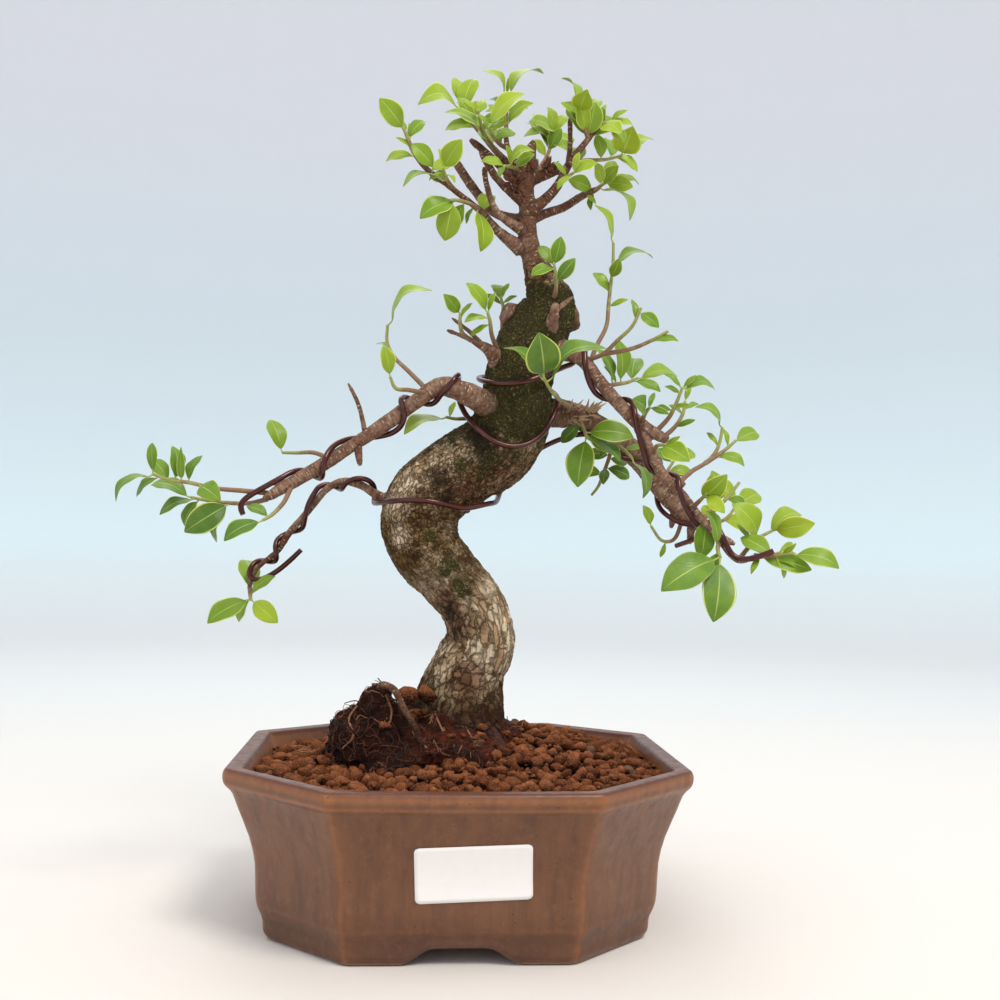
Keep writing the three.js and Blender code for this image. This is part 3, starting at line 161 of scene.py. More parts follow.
# Leafy stems: name, then a twig's points [x, y, z] and its leaves, once or twice.
# A leaf is [place along the twig in percent, dx, dy, dz to its tip,
# turn in degrees (0 faces the viewer, 90 faces up), bow in percent of its length].
LEAFY_STEMS = [
    ["crown_left_end",
        [[-19, -16, 300], [-24, -18, 307], [-26, -20, 311], [-28, -21, 315]],
        [[85, -10, -7, 10, 0, 8], [65, 7, 3, 9, 35, 10], [40, -7, -2, 4, 40, 10], [75, -6, 2, 8, 55, 10]]],
    ["crown_left_fork",
        [[-12, -10, 296], [-17, -9, 301], [-22, -8, 306], [-25, -8, 311]],
        [[95, 8, -5, -8, 20, 12], [75, -12, 3, -2, 45, 12], [100, 0, 2, 10, 45, 10]]],
    ["crown_left_middle",
        [[-6, -8, 293], [-9, -14, 295], [-11, -19, 298]],
        [[100, 7, -10, 9, 0, 10], [90, -6, 3, -3, 40, 10], [80, 4, -6, -5, 50, 10],
            [55, -18, -5, -5, 75, 20], [100, -2, 2, 9, 40, 10]]],
    ["crown_left_low",
        [[7, -2, 285], [1, -9, 287], [-5, -14, 287], [-8, -17, 286]],
        [[80, -15, -4, -9, 25, 12], [90, -3, 4, -16, 0, 10], [35, -3, 2, -7, 45, 10],
            [25, 2, -4, -19, 50, 10]]],
    ["crown_back_left",
        [[7, 14, 323], [2, 17, 330], [-2, 20, 336], [-4, 22, 341]],
        [[85, -19, -5, -1, 45, 28], [100, -2, 3, 12, 30, 10], [75, 5, 4, 17, 30, 10],
            [40, -7, -3, 10, 35, 10], [30, -13, 3, -1, 40, 15]]],
    ["crown_top_left",
        [[15, 8, 312], [10, 2, 315], [6, -3, 319], [3, -9, 326]],
        [[50, -18, -5, 9, 60, 16], [65, -6, 2, 7, 40, 10], [100, 3, 5, 7, 40, 10],
            [85, 10, -2, -1, 15, 15], [100, -6, -3, 3, 30, 10]]],
    ["crown_top",
        [[16, 7, 322], [16, 7, 329], [16, 6, 335], [16, 5, 339]],
        [[95, -11, -4, 9, 65, 22], [100, 16, 5, 12, 70, 22], [100, 0, -5, 5, 40, 5],
            [60, 9, -2, 1, 15, 15], [45, -9, 2, 3, 30, 15]]],
    ["crown_top_front",
        [[17, 4, 315], [12, -6, 314], [8, -13, 316], [7, -16, 317]],
        [[100, 14, -5, 13, 50, 10], [85, 8, -2, 4, 35, 10], [70, 9, 2, 2, 35, 10],
            [90, -5, -2, 6, 40, 10]]],
    ["crown_knob_front",
        [[23, -2, 304], [18, -9, 303], [14, -14, 302]],
        [[85, 11, -3, 6, 55, 25], [95, -10, -2, 1, 40, 10], [100, -2, -6, -7, 45, 10]]],
    ["crown_back_right",
        [[30, 14, 309], [35, 22, 318], [38, 28, 327], [39, 31, 332]],
        [[85, -9, 4, 13, 55, 10], [80, -13, -3, 1, 50, 30], [65, -10, 4, 13, 60, 10],
            [100, 6, 4, 10, 30, 10], [75, 11, 3, 4, 20, 10], [100, -3, -3, 11, 40, 10]]],
    ["crown_right_top",
        [[49, -10, 316], [47, -13, 319], [45, -15, 323], [44, -16, 327]],
        [[95, -7, 4, 14, 70, 18], [40, -10, -3, 9, 40, 10], [90, 1, -15, 3, 0, 8], [60, 8, 8, 12, 35, 10]]],
    ["crown_right_end",
        [[52, -11, 320], [54, -14, 321], [57, -16, 321]],
        [[95, 7, -2, 5, 40, 10], [40, 7, -11, -7, 10, 10], [100, 10, 2, 0, 45, 12],
            [65, 1, 2, 9, 45, 20], [90, 5, 4, -6, 0, 10]]],
    ["crown_right_fan",
        [[42, -7, 307], [50, -4, 309], [58, 0, 311], [65, 3, 314]],
        [[100, 2, -16, 7, 0, 8], [100, 15, 4, 9, 55, 15], [60, -3, -3, 10, 20, 10],
            [80, -1, 7, 11, 30, 10], [90, 10, 3, -5, 40, 12]]],
    ["crown_right_low",
        [[50, 13, 299], [55, 15, 302], [60, 17, 306], [63, 18, 308]],
        [[40, -12, -4, 3, 5, 10], [80, 12, -3, -2, 0, 10], [95, 14, 3, 0, 60, 15],
            [60, 13, -5, -16, 70, 25], [35, -1, -2, -9, 40, 10], [100, 1, 4, 10, 25, 10]]],
    ["crown_right_front",
        [[38, -4, 300], [40, -12, 299], [42, -18, 299]],
        [[90, 10, -3, 4, 40, 10], [85, -6, -2, -7, 30, 10], [100, 2, -2, 8, 25, 10]]],
    ["upper_trunk_sprig",
        [[35, -6, 247], [36, -13, 251], [36, -15, 256], [35, -16, 261]],
        [[100, 2, -5, 11, 0, 6], [100, -6, 3, 9, 15, 6], [95, -10, -3, -4, 40, 12], [65, 7, -5, 9, 0, 10]]],
    ["front_sprig",
        [[43.5, 6, 204], [43, -7, 205], [38, -19, 206], [33, -27, 209], [30, -31, 213]],
        [[100, -4, -16, 15, 0, 10], [95, -17, 5, 14, 70, 14], [95, 23, -7, 13, 75, 22],
            [100, -3, -3, 9, 60, 5]]],
    ["middle_left_outer",
        [[1, -16, 230], [-2, -19, 232], [-3, -21, 236], [-3, -22, 239]],
        [[100, -7, -8, 6, 0, 10], [85, 5, 2, 7, 40, 10]]],
    ["middle_left_front",
        [[13, -10, 227], [10, -17, 232], [9, -20, 237], [8, -21, 240]],
        [[100, -9, -4, 11, 40, 10], [90, -10, -3, -3, 55, 10], [75, -8, 2, -5, 30, 10],
            [100, 3, -2, 8, 35, 10]]],
    ["middle_left_back",
        [[17, 13, 243], [17, 17, 247], [17, 19, 251], [16, 20, 255]],
        [[90, -3, 8, 9, 25, 10], [100, 4, 3, 7, 35, 10], [75, -8, 2, 5, 20, 10], [80, 6, -3, 3, 25, 10]]],
    ["left_high_arch",
        [[-15, -13, 209], [-23, -11, 217], [-29, -9, 223], [-32, -8, 229], [-32, -8, 236]],
        [[100, 18, -6, 14, 75, 25], [75, -5, 7, 2, 60, 5]]],
    ["left_high_small",
        [[-16, -14, 208], [-23, -22, 208], [-28, -26, 208], [-30, -28, 212]],
        [[100, -3, -3, 12, 25, 8]]],
    ["left_high_under",
        [[9.5, 7, 201], [2, 7, 200.5], [-3, 5, 200], [-7, 0, 200]],
        [[100, -17.5, -9, -8.6, 65, 14], [90, 2.5, 4, 7.5, 30, 5]]],
    ["left_high_outer",
        [[-53, -17, 180], [-60, -12, 183], [-67, -9, 183], [-73, -8, 183]],
        [[100, -6, 4, 14, 35, 10]]],
    ["left_end_upper",
        [[-77, -21, 166], [-87, -26, 166.5], [-96, -29, 167], [-106, -28, 169], [-114, -27, 170],
            [-120, -27, 172]],
        [[100, 0, -3, 12, 40, 10], [85, -8, 6, 8, 25, 8], [100, -13, -4, -11, 65, 25],
            [95, -9, 3, -8, 60, 10],
            [80, -2, 3, 14, 60, 10], [75, 0, -3, 13, 60, 10], [70, 5, 3, 11, 55, 10],
            [60, 10, -11, -6, 20, 10]]],
    ["left_end_lower",
        [[-77, -22, 163.5], [-84, -18, 162], [-93, -15, 162], [-102, -13, 163], [-108, -12, 164]],
        [[50, -17, -5, -12, 0, 10], [90, -6, 3, -11, 40, 10], [95, -13, -4, -7, 60, 10],
            [100, -17, 4, 5, 60, 15], [60, -3, 4, -16, 60, 10]]],
    ["left_end_under",
        [[-68, -22, 168], [-70, -28, 162], [-74, -32, 157], [-77, -34, 155]],
        [[100, -14, -4, -8, 45, 10], [85, -9, 2, 4, 45, 10]]],
    ["left_low_end",
        [[-88, 20, 127], [-87, 14, 124], [-86, 9, 123]],
        [[10, -4, 15, 13, 35, 10], [40, 10, 3, 8, 55, 10], [85, -17, -5, -10, 35, 10],
            [100, 12, -7, -9, 10, 10], [55, -5, 3, -11, 50, 10]]],
    ["right_high_tall",
        [[50, -14, 220], [54, -6, 230], [59, -2, 240], [60, 0, 249], [61, 1, 258], [62, 2, 268],
            [62, 2, 276]],
        [[100, -9, -4, 15, 65, 14], [85, 18, 4, 5, 70, 20], [75, 2, -8, 7, 0, 8],
            [65, -7, 3, 9, 30, 10], [55, 8, -2, 3, 15, 10]]],
    ["right_high_upper",
        [[48, -14, 223], [55, -20, 225], [60, -25, 230], [65, -29, 235], [68, -31, 242]],
        [[95, 7, -5, -7, 0, 10], [85, -1, 4, 9, 20, 10]],
        [[55, -20, 225], [66, -23, 227], [75, -25, 231], [80, -26, 234]],
        [[70, 11, -3, 0, 55, 10]]],
    ["right_high_middle",
        [[55, -18, 212], [61, -11, 214], [68, -6, 216], [72, -4, 218]],
        [[40, -8, -4, 14, 60, 12], [60, -3, -5, 18, 45, 8], [85, 4, 13, 12, 25, 8],
            [100, 18, 4, 2, 60, 15], [90, 11, -3, -5, 40, 10], [50, -6, -2, 7, 35, 10]]],
    ["right_fan_upper",
        [[75, -26, 193], [80, -30, 199], [82, -33, 204], [84, -35, 210]],
        [[100, 5, -2, 5, 20, 10], [100, -7, 2, 6, 35, 10], [90, -7, -4, 2, 20, 10],
            [100, 14, 3, 0, 55, 25], [65, 5, -5, 0, 0, 10], [55, -6, 4, 2, 15, 10]]],
    ["right_fan_middle",
        [[78, -26, 191], [84, -22, 196], [88, -19, 202], [89, -18, 207]],
        [[40, 8, -2, 3, 10, 15], [100, 3, 3, 7, 30, 10], [85, 7, 4, 3, 35, 10], [75, -5, 4, 4, 30, 10]]],
    ["right_crook",
        [[70, -24, 197], [70, -32, 200], [71, -36, 202]],
        [[75, -8, -14, 3, 15, 8], [100, 7, -4, -3, 0, 10], [90, 3, 3, 7, 25, 10]]],
    ["right_front_upper",
        [[74, -29, 185], [74, -37, 187], [76, -42, 187]],
        [[80, 8, -14, -7, 0, 8], [100, 5, -4, 3, 0, 10]]],
    ["right_forked_stem",
        [[82, -33, 171], [90, -26, 178], [97, -21, 182], [102, -18, 187], [104, -17, 192], [105, -16, 197]],
        [[100, -12, -3, 8, 55, 25], [80, -4, 4, 6, 15, 10]],
        [[97, -21, 182], [105, -17, 187], [111, -15, 192]],
        [[95, 12, 8, 5, 30, 10], [35, 11, -3, -4, 45, 20], [75, -2, 2, 8, 20, 10]]],
    ["right_inner_large",
        [[47, 14, 207], [49, 8, 202], [51, 4, 197], [52, 2, 193]],
        [[85, 20, -5, -2, 30, 12], [95, -4, -5, -22, 25, 8], [100, 14, -4, -10, 55, 12]]],
    ["right_inner_dark",
        [[66, 24, 195], [67, 33, 189], [65, 38, 181], [63, 40, 175], [60, 40, 171]],
        [[55, 12, 5, -4, 20, 10], [65, -11, 3, 1, 25, 10], [35, -10, 3, 1, 0, 10]]],
    ["right_inner_arch",
        [[60, 20, 200], [64, 12, 193], [69, 8, 189], [72, 5, 185]],
        [[100, 4, -4, -17, 60, 20], [75, 9, 2, 1, 40, 10], [50, -6, -2, -7, 35, 10]]],
    ["right_back_upper",
        [[90, 29, 174], [92, 35, 179], [95, 39, 184], [98, 41, 188]],
        [[100, 11, 7, 4, 25, 10], [90, -6, 7, 7, 0, 10], [65, 12, 3, -1, 25, 10], [40, -7, 5, 4, 0, 10]]],
    ["right_back_long",
        [[99, 28, 161], [96, 30, 152], [89, 24, 151], [83, 18, 157]],
        [[100, -4, -2, 9, 25, 10], [55, -2, 2, -7, 0, 10]]],
    ["right_end_back",
        [[106, 26, 158], [114, 32, 159], [121, 36, 162], [126, 38, 168]],
        [[100, -10, 4, 12, 20, 10], [95, 14, 10, 7, 30, 10], [60, 13, 9, -2, 30, 10],
            [45, -5, 7, 8, 0, 10]]],
    ["right_front_fan",
        [[88, -36, 163], [90, -42, 166], [91, -47, 168]],
        [[60, 7, -12, 9, 0, 10], [95, 6, -6, -7, 0, 10], [100, 2, -2, 8, 25, 10]]],
    ["right_crossing",
        [[92, -38, 159], [98, -33, 163], [104, -30, 168], [109, -28, 174]],
        [[40, -1, 4, 15, 20, 12], [65, 9, 6, -3, 25, 10]]],
    ["right_hanging",
        [[98, -40, 150], [96, -46, 147], [96, -50, 144]],
        [[45, -6, -6, 14, 50, 10], [65, -4, 3, -10, 0, 12], [95, -24, -7, -13, 35, 10],
            [100, -4, -7, -24, 0, 8]]],
    ["right_end_upper",
        [[105, -42, 143], [110, -38, 148], [115, -35, 152], [121, -33, 155]],
        [[70, -12, -4, 13, 25, 16], [90, 15, 4, 8, 55, 20], [100, 14, -10, 3, 0, 12],
            [45, -5, 2, 8, 40, 10]]],
    ["right_end_tip",
        [[111, -43, 145], [117, -46, 145], [121, -47, 146], [125, -48, 146]],
        [[95, 17, -5, -5, 35, 16], [35, 17, 4, -5, 55, 12], [70, 4, -5, 4, 0, 10],
            [55, 4, 2, -9, 45, 10], [15, -4, -2, -7, 40, 10]]],
]

# Windings: stations [place on the route in points from its foot, angle in degrees round the wood],
# where 0 degrees faces the viewer. The wire's free ends are points [x, y, z].
RIGHT_GUIDE = RIGHT_HIGH[:5] + RIGHT_FRONT[1:]
UPPER_WIRE = {
    "left_end": [[-85.5, -26, 157.2], [-90, -28, 156], [-95, -27, 162.5], [-94, -24, 168.5],
        [-86.5, -22, 162.6],
        [-82, -25, 159.2], [-76.8, -28, 166.1], [-73.1, -25.5, 172.5], [-68, -22, 176.4]],
    "left": [[7.5, -970], [7.3, -830], [7.15, -725], [6.1, -600], [4.6, -400], [4.5, -340], [3.3, -60],
        [2.6, -5], [2.4, 95], [2.3, 215]],
    "trunk": [[12.3, -90], [12.1, -10], [12.55, 30], [13.3, 60], [13.8, 95], [14.25, 130], [14.3, 180],
        [13.9, 290], [13.9, 355], [14.25, 385], [14.75, 420]],
    "right": [[1.3, -210], [1.7, -100], [2.4, 20], [2.8, 55], [3.5, 150], [3.9, 250], [4.45, 355], [5, 415],
        [5.6, 470], [6.8, 705], [7.35, 755], [8.2, 810], [8.8, 1040], [9.2, 1065], [10, 1120]],
    "right_end": [[106, -46, 140], [110, -47, 141], [114, -48, 143], [117, -48, 147]],
}
LOWER_WIRE = {
    "left_end": [[-67, 20, 144], [-71, 22, 137], [-76, 24, 130], [-82, 25, 123], [-88, 24, 121],
        [-92, 18, 126]],
    "left": [[11.1, -700], [9.25, -420], [8.3, -225], [7.75, -155], [7.2, -70], [6.15, 25], [5.5, 60],
        [4.6, 200], [3.95, 320], [3.25, 400], [2.5, 470], [1.75, 630]],
    "trunk": [[9.25, -95], [9.45, -35], [9.8, 5], [10.5, 48], [11.2, 70], [11.4, 130], [12.3, 160]],
    "right": [[1.3, 130], [1.5, 40], [2.75, 60], [3.35, 0], [4, -120], [4.9, -215], [5.3, -258],
        [5.75, -285],
        [6.3, -330], [6.8, -480], [6.7, -590]],
    "right_end": [[103.3, 22, 149.5], [94.4, 20, 148.8]],
}

VIEWER = Vector((0, -1, 0))
UP = Vector((0, 0, 1))


def spot(x, y, z):
    """A place in millimetres from the pot's axis, in the shared frame."""
    return Vector((POT_AXIS.x + x * MM, POT_AXIS.y + y * MM, POT_LOW.z + z * MM))


# Shaders


class Finish:
    """A material whose nodes are added one by one round its Principled shader."""

    def __init__(self, name, **shader_values):
        self.material = bpy.data.materials.new(name)
        self.material.use_nodes = True
        self.tree = self.material.node_tree
        self.shader = self.tree.nodes["Principled BSDF"]
        for socket, value in shader_values.items():
            self.shader.inputs[socket.replace("_", " ")].default_value = value
        self.place = self.add("TexCoord").outputs["Object"]

    def add(self, kind, inputs=None, **settings):
        made = self.tree.nodes.new("ShaderNode" + kind)
        for name, value in settings.items():
            setattr(made, name, value)
        for key, value in (inputs or {}).items():
            self.fill(made.inputs[key], value)
        return made

    def fill(self, socket, value):
        if isinstance(value, bpy.types.NodeSocket):
            self.tree.links.new(value, socket)
        else:
            socket.default_value = value

    def set(self, socket, value):
        self.fill(self.shader.inputs[socket], value)

    def attribute(self, name, output="Fac"):
        return self.add("Attribute", attribute_name=name).outputs[output]

    def scaled(self, vector, factors):
        return self.add("Mapping", {"Vector": vector, "Scale": factors}).outputs[0]

    def noise(self, size, detail=3, rough=0.5, vector=None, distortion=0.0):
        """A cloudy pattern whose lumps are about size millimetres across."""
        inputs = {"Vector": vector or self.place, "Scale": 1 / (size * MM), "Detail": detail,
                  "Roughness": rough, "Distortion": distortion}
        return self.add("TexNoise", inputs).outputs["Fac"]

    def wander(self, vector, size, reach):
        """The vector, pushed about by up to reach millimetres in lumps of about size millimetres."""
        inputs = {"Vector": vector, "Scale": 1 / (size * MM), "Detail": 2}
        push = self.add("TexNoise", inputs).outputs["Color"]
        push = self.add("VectorMath", {0: push, 1: (0.5, 0.5, 0.5)}, operation="SUBTRACT").outputs[0]
        push = self.add("VectorMath", {0: push, "Scale": 2 * reach * MM}, operation="SCALE").outputs[0]
        return self.add("VectorMath", {0: vector, 1: push}, operation="ADD").outputs[0]

    def plates(self, vector, size):
        """Cracked plates, each with a tone of its own, and the cracks round them."""
        tone = self.cells(size, "F1", "Color", vector)
        edge = self.cells(size, "DISTANCE_TO_EDGE", "Distance", vector)
        return self.span(tone, 0.2, 0.6), self.span(edge, 0.03, 0.15, 1, 0)

    def hairlines(self, vector, size):
        """Fine ragged cracks."""
        cloud = self.noise(size, 3, 0.6, vector, 0.5)
        away = self.math("ABSOLUTE", self.minus(cloud, 0.5))
        return self.span(away, 0.0, 0.035, 1, 0)

    def cells(self, size, feature="F1", output="Distance", vector=None):
        inputs = {"Vector": vector or self.place, "Scale": 1 / (size * MM)}
        return self.add("TexVoronoi", inputs, feature=feature).outputs[output]

    def math(self, operation, *values):
        made = self.add("Math", operation=operation)
        for i, value in enumerate(values):
            self.fill(made.inputs[i], value)
        return made.outputs[0]

    def plus(self, first, second):
        return self.math("ADD", first, second)

    def minus(self, first, second):
        return self.math("SUBTRACT", first, second)

    def times(self, first, second):
        return self.math("MULTIPLY", first, second)

    def ragged(self, name, pattern, by, half=0.2):
        """An attribute whose edges a cloudy pattern breaks up, by so much either way."""
        return self.plus(self.attribute(name), self.span(pattern, 0.5 - half, 0.5 + half, -by, by))

    def span(self, value, low, high, start=0.0, end=1.0):
        """The value, carried from low..high to start..end and held at both ends."""
        inputs = {"Value": value, "From Min": low, "From Max": high, "To Min": start, "To Max": end}
        return self.add("MapRange", inputs).outputs[0]

    def mix(self, factor, first, second):
        made = self.add("Mix", data_type="RGBA")
        for i, value in zip((0, 6, 7), (factor, first, second)):
            if isinstance(value, tuple) and len(value) == 3:
                value = (*value, 1)
            self.fill(made.inputs[i], value)
        return made.outputs[2]

    def height(self):
        """Height above the pot's foot, in millimetres."""
        z = self.add("SeparateXYZ", {"Vector": self.place}).outputs["Z"]
        return self.math("DIVIDE", self.minus(z, POT_LOW.z), MM)

    def bump(self, *layers):
        """Layers of (pattern, depth in millimetres)."""
        normal = None
        for pattern, depth in layers:
            inputs = {"Height": pattern, "Distance": depth * MM, "Strength": 1.0}
            if normal:
                inputs["Normal"] = normal
            normal = self.add("Bump", inputs).outputs[0]
        self.set("Normal", normal)


def glaze_finish():
    """Brown stoneware glaze: bronze where it thins on the edges, streaked, speckled and pitted."""
    f = Finish("brown_glaze", Specular_IOR_Level=0.4)
    streaks = f.noise(4.5, 4, 0.6, f.scaled(f.place, (1, 1, 0.14)))
    clouds = f.noise(24, 3, 0.55)
    mottle = f.noise(3.0, 4, 0.65)
    pits = f.span(f.cells(2.4), 0.06, 0.15, 1, 0)
    rare = f.span(f.noise(6, 1), 0.50, 0.60)
    pits = f.times(pits, rare)
    brown = f.mix(f.span(f.height(), 7, 20), (0.088, 0.036, 0.019), (0.156, 0.064, 0.030))
    brown = f.mix(f.span(clouds, 0.35, 0.7, 0, 0.5), brown, (0.190, 0.080, 0.036))
    brown = f.mix(f.span(streaks, 0.45, 0.68, 0, 0.75), brown, (0.098, 0.039, 0.021))
    brown = f.mix(f.span(mottle, 0.52, 0.75, 0, 0.4), brown, (0.23, 0.108, 0.055))
    thin = f.times(f.attribute("thin"), f.span(mottle, 0.25, 0.6, 0.45, 1))
    brown = f.mix(thin, brown, (0.30, 0.112, 0.042))
    edge = f.times(f.attribute("edge"), f.span(mottle, 0.3, 0.5, 0.5, 0.95))
    brown = f.mix(edge, brown, (0.105, 0.024, 0.014))
    brown = f.mix(pits, brown, (0.040, 0.018, 0.012))
    blue = f.times(f.attribute("bare"), f.span(f.noise(2.2, 3), 0.52, 0.6))
    brown = f.mix(blue, brown, (0.09, 0.12, 0.21))
    clay = f.span(f.height(), 0.4, 1.1, 1, 0)
    f.set("Base Color", f.mix(clay, brown, (0.30, 0.13, 0.065)))
    f.set("Roughness", f.span(f.noise(4, 3), 0.3, 0.7, 0.28, 0.45))
    f.bump((clouds, 0.5), (streaks, 0.10), (mottle, 0.10), (pits, -0.10))
    return f.material


def raw_clay_finish():
    f = Finish("raw_clay", Roughness=0.85)
    f.set("Base Color", f.mix(f.noise(6, 4), (0.33, 0.13, 0.07), (0.46, 0.24, 0.14)))
    f.bump((f.noise(1.2, 4, 0.7), 0.25))
    return f.material


def granule_finish():
    """Fired clay, gritty and dusty, in reds and browns with a few grey grains, and painted shade on each
    granule's underside.
    """
    f = Finish("clay_granules", Roughness=0.95, Specular_IOR_Level=0.15)
    tone = f.attribute("tone")
    red = f.mix(tone, (0.210, 0.058, 0.020), (0.60, 0.205, 0.082))
    red = f.mix(f.span(f.noise(1.8, 4, 0.7), 0.4, 0.68, 0, 0.6), red, (0.190, 0.058, 0.019))
    # Painted shade: each granule darkens towards near black on its lower side, read from its top value.
    red = f.mix(f.span(f.attribute("top"), -0.1, 0.7, 1, 0), red, (0.045, 0.011, 0.004))
    grit = f.noise(0.6, 3, 0.75)
    red = f.mix(f.span(grit, 0.54, 0.70, 0, 0.8), red, (0.56, 0.255, 0.110))
    red = f.mix(f.span(grit, 0.46, 0.32, 0, 0.8), red, (0.032, 0.010, 0.005))
    f.set("Base Color", f.mix(f.span(tone, 0.985, 0.99, 0, 0.6), red, (0.22, 0.155, 0.105)))
    f.bump((f.noise(1.5, 5, 0.85), 1.8), (grit, 0.5))
    return f.material


def peat_finish():
    """Black peat on the left, red-brown and fibrous on the right and by the trunk."""
    f = Finish("root_peat", Roughness=0.95, Specular_IOR_Level=0.2)
    x = f.math("DIVIDE", f.add("SeparateXYZ", {"Vector": f.place}).outputs["X"], MM)
    patch = f.plus(x, f.span(f.noise(9, 3), 0.3, 0.7, -22, 22))
    red = f.span(patch, -22, 4)
    dark = f.mix(f.noise(1.1, 4, 0.75), (0.005, 0.002, 0.001), (0.058, 0.017, 0.008))
    rusty = f.mix(f.noise(1.2, 4, 0.75), (0.030, 0.006, 0.002), (0.250, 0.048, 0.014))
    f.set("Base Color", f.mix(red, dark, rusty))
    threads = f.noise(1.2, 5, 0.75, f.scaled(f.place, (1, 1, 2.5)), distortion=2.0)
    f.bump((f.noise(2.4, 4, 0.7), 1.8), (threads, 1.1))
    return f.material


def root_finish(name, dark, pale):
    f = Finish(name, Roughness=0.75)
    f.set("Base Color", f.mix(f.noise(2.5, 3), dark, pale))
    f.bump((f.noise(0.7, 3), 0.12))
    return f.material


def bark_finish():
    """Flaky bark on the trunk, mossy higher up, with painted highlights and patches of painted shade, and
    smoother brown bark with pale pores on branches.
    """
    f = Finish("ficus_bark", Specular_IOR_Level=0.2)
    grain = f.attribute("grain", "Vector")
    young = f.attribute("young")
    bent = f.wander(f.wander(grain, 6, 2.6), 1.5, 0.9)
    long_flake, long_crack = f.plates(f.scaled(bent, (1, 1, 0.45)), 2.5)
    small_flake, small_crack = f.plates(f.scaled(bent, (1, 1, 0.8)), 1.6)
    is_low = f.span(f.height(), 122, 146, 1, 0)
    flake = f.mix(is_low, small_flake, long_flake)
    crack = f.mix(is_low, small_crack, long_crack)
    fine_crack = f.hairlines(bent, 0.7)
    crumb = f.noise(0.7, 4, 0.75)

    # The pale value lightens the bark: partly pale bark and partly painted highlight.
    lit = f.span(f.ragged("pale", f.noise(4.5, 4, 0.7), 0.32), 0.12, 0.9)
    ground = f.mix(lit, (0.078, 0.040, 0.013), (0.62, 0.400, 0.225))
    plate = f.mix(lit, (0.250, 0.150, 0.056), (0.98, 0.80, 0.56))
    rust = f.span(f.ragged("rust", f.noise(3.6, 4, 0.7), 0.35), 0.25, 0.75, 0, 0.8)
    ground = f.mix(rust, ground, (0.080, 0.026, 0.012))
    plate = f.mix(rust, plate, (0.27, 0.125, 0.066))
    old = f.mix(flake, ground, plate)
    old = f.mix(f.span(crumb, 0.60, 0.75, 0, 0.5), old, (0.46, 0.33, 0.20))
    old = f.mix(f.times(fine_crack, 0.5), old, (0.050, 0.028, 0.014))
    old = f.mix(f.times(crack, f.span(lit, 0, 1, 0.8, 0.66)), old, (0.040, 0.017, 0.006))

    moss = f.ragged("moss", f.noise(3.4, 5, 0.75), 0.5, 0.25)
    green = f.mix(f.noise(1.5, 4, 0.75), (0.006, 0.005, 0.001), (0.100, 0.092, 0.020))
    green = f.mix(f.span(f.noise(5, 3), 0.42, 0.64, 0, 0.8), green, (0.052, 0.034, 0.016))
    specks = f.times(f.span(f.noise(0.9, 3, 0.8), 0.57, 0.67), 0.9)
    green = f.mix(specks, green, (0.42, 0.36, 0.15))
    old = f.mix(f.span(moss, 0.36, 0.62), old, green)
    # Painted shade: near-black patches on the trunk's front, most on its left side.
    painted_shade = f.ragged("painted_shade", f.noise(2.6, 4, 0.75), 0.35)
    old = f.mix(f.span(painted_shade, 0.3, 0.8, 0, 0.85), old, (0.020, 0.012, 0.007))

    rings = f.noise(1.3, 4, 0.7, f.scaled(grain, (0.4, 0.4, 1.5)))
    brown = f.mix(f.span(rings, 0.3, 0.7), (0.045, 0.016, 0.009), (0.24, 0.115, 0.065))
    tan = f.mix(f.span(rings, 0.3, 0.7), (0.150, 0.075, 0.045), (0.48, 0.31, 0.215))
    smooth = f.mix(lit, brown, tan)
    smooth = f.mix(f.span(f.noise(5, 3, 0.6), 0.45, 0.62, 0, 0.6), smooth, (0.110, 0.036, 0.019))
    pores = f.span(f.cells(2.0, vector=f.scaled(grain, (0.62, 0.62, 1.9))), 0.20, 0.30, 1, 0)
    pores = f.times(pores, f.span(f.noise(4, 2), 0.38, 0.52))
    smooth = f.mix(f.times(pores, 0.85), smooth, (0.60, 0.48, 0.35))

    colour = f.mix(young, old, smooth)
    f.set("Base Color", f.mix(f.attribute("damp"), colour, (0.040, 0.012, 0.006)))
    f.set("Roughness", f.minus(0.92, f.times(young, 0.25)))
    aged = f.minus(1.0, f.times(young, 0.8))
    relief = f.times(f.minus(flake, crack), aged)
    rough = f.times(crumb, aged)
    f.bump((relief, 0.9), (rough, 1.0), (rings, 0.25), (f.times(pores, young), 0.2))
    return f.material


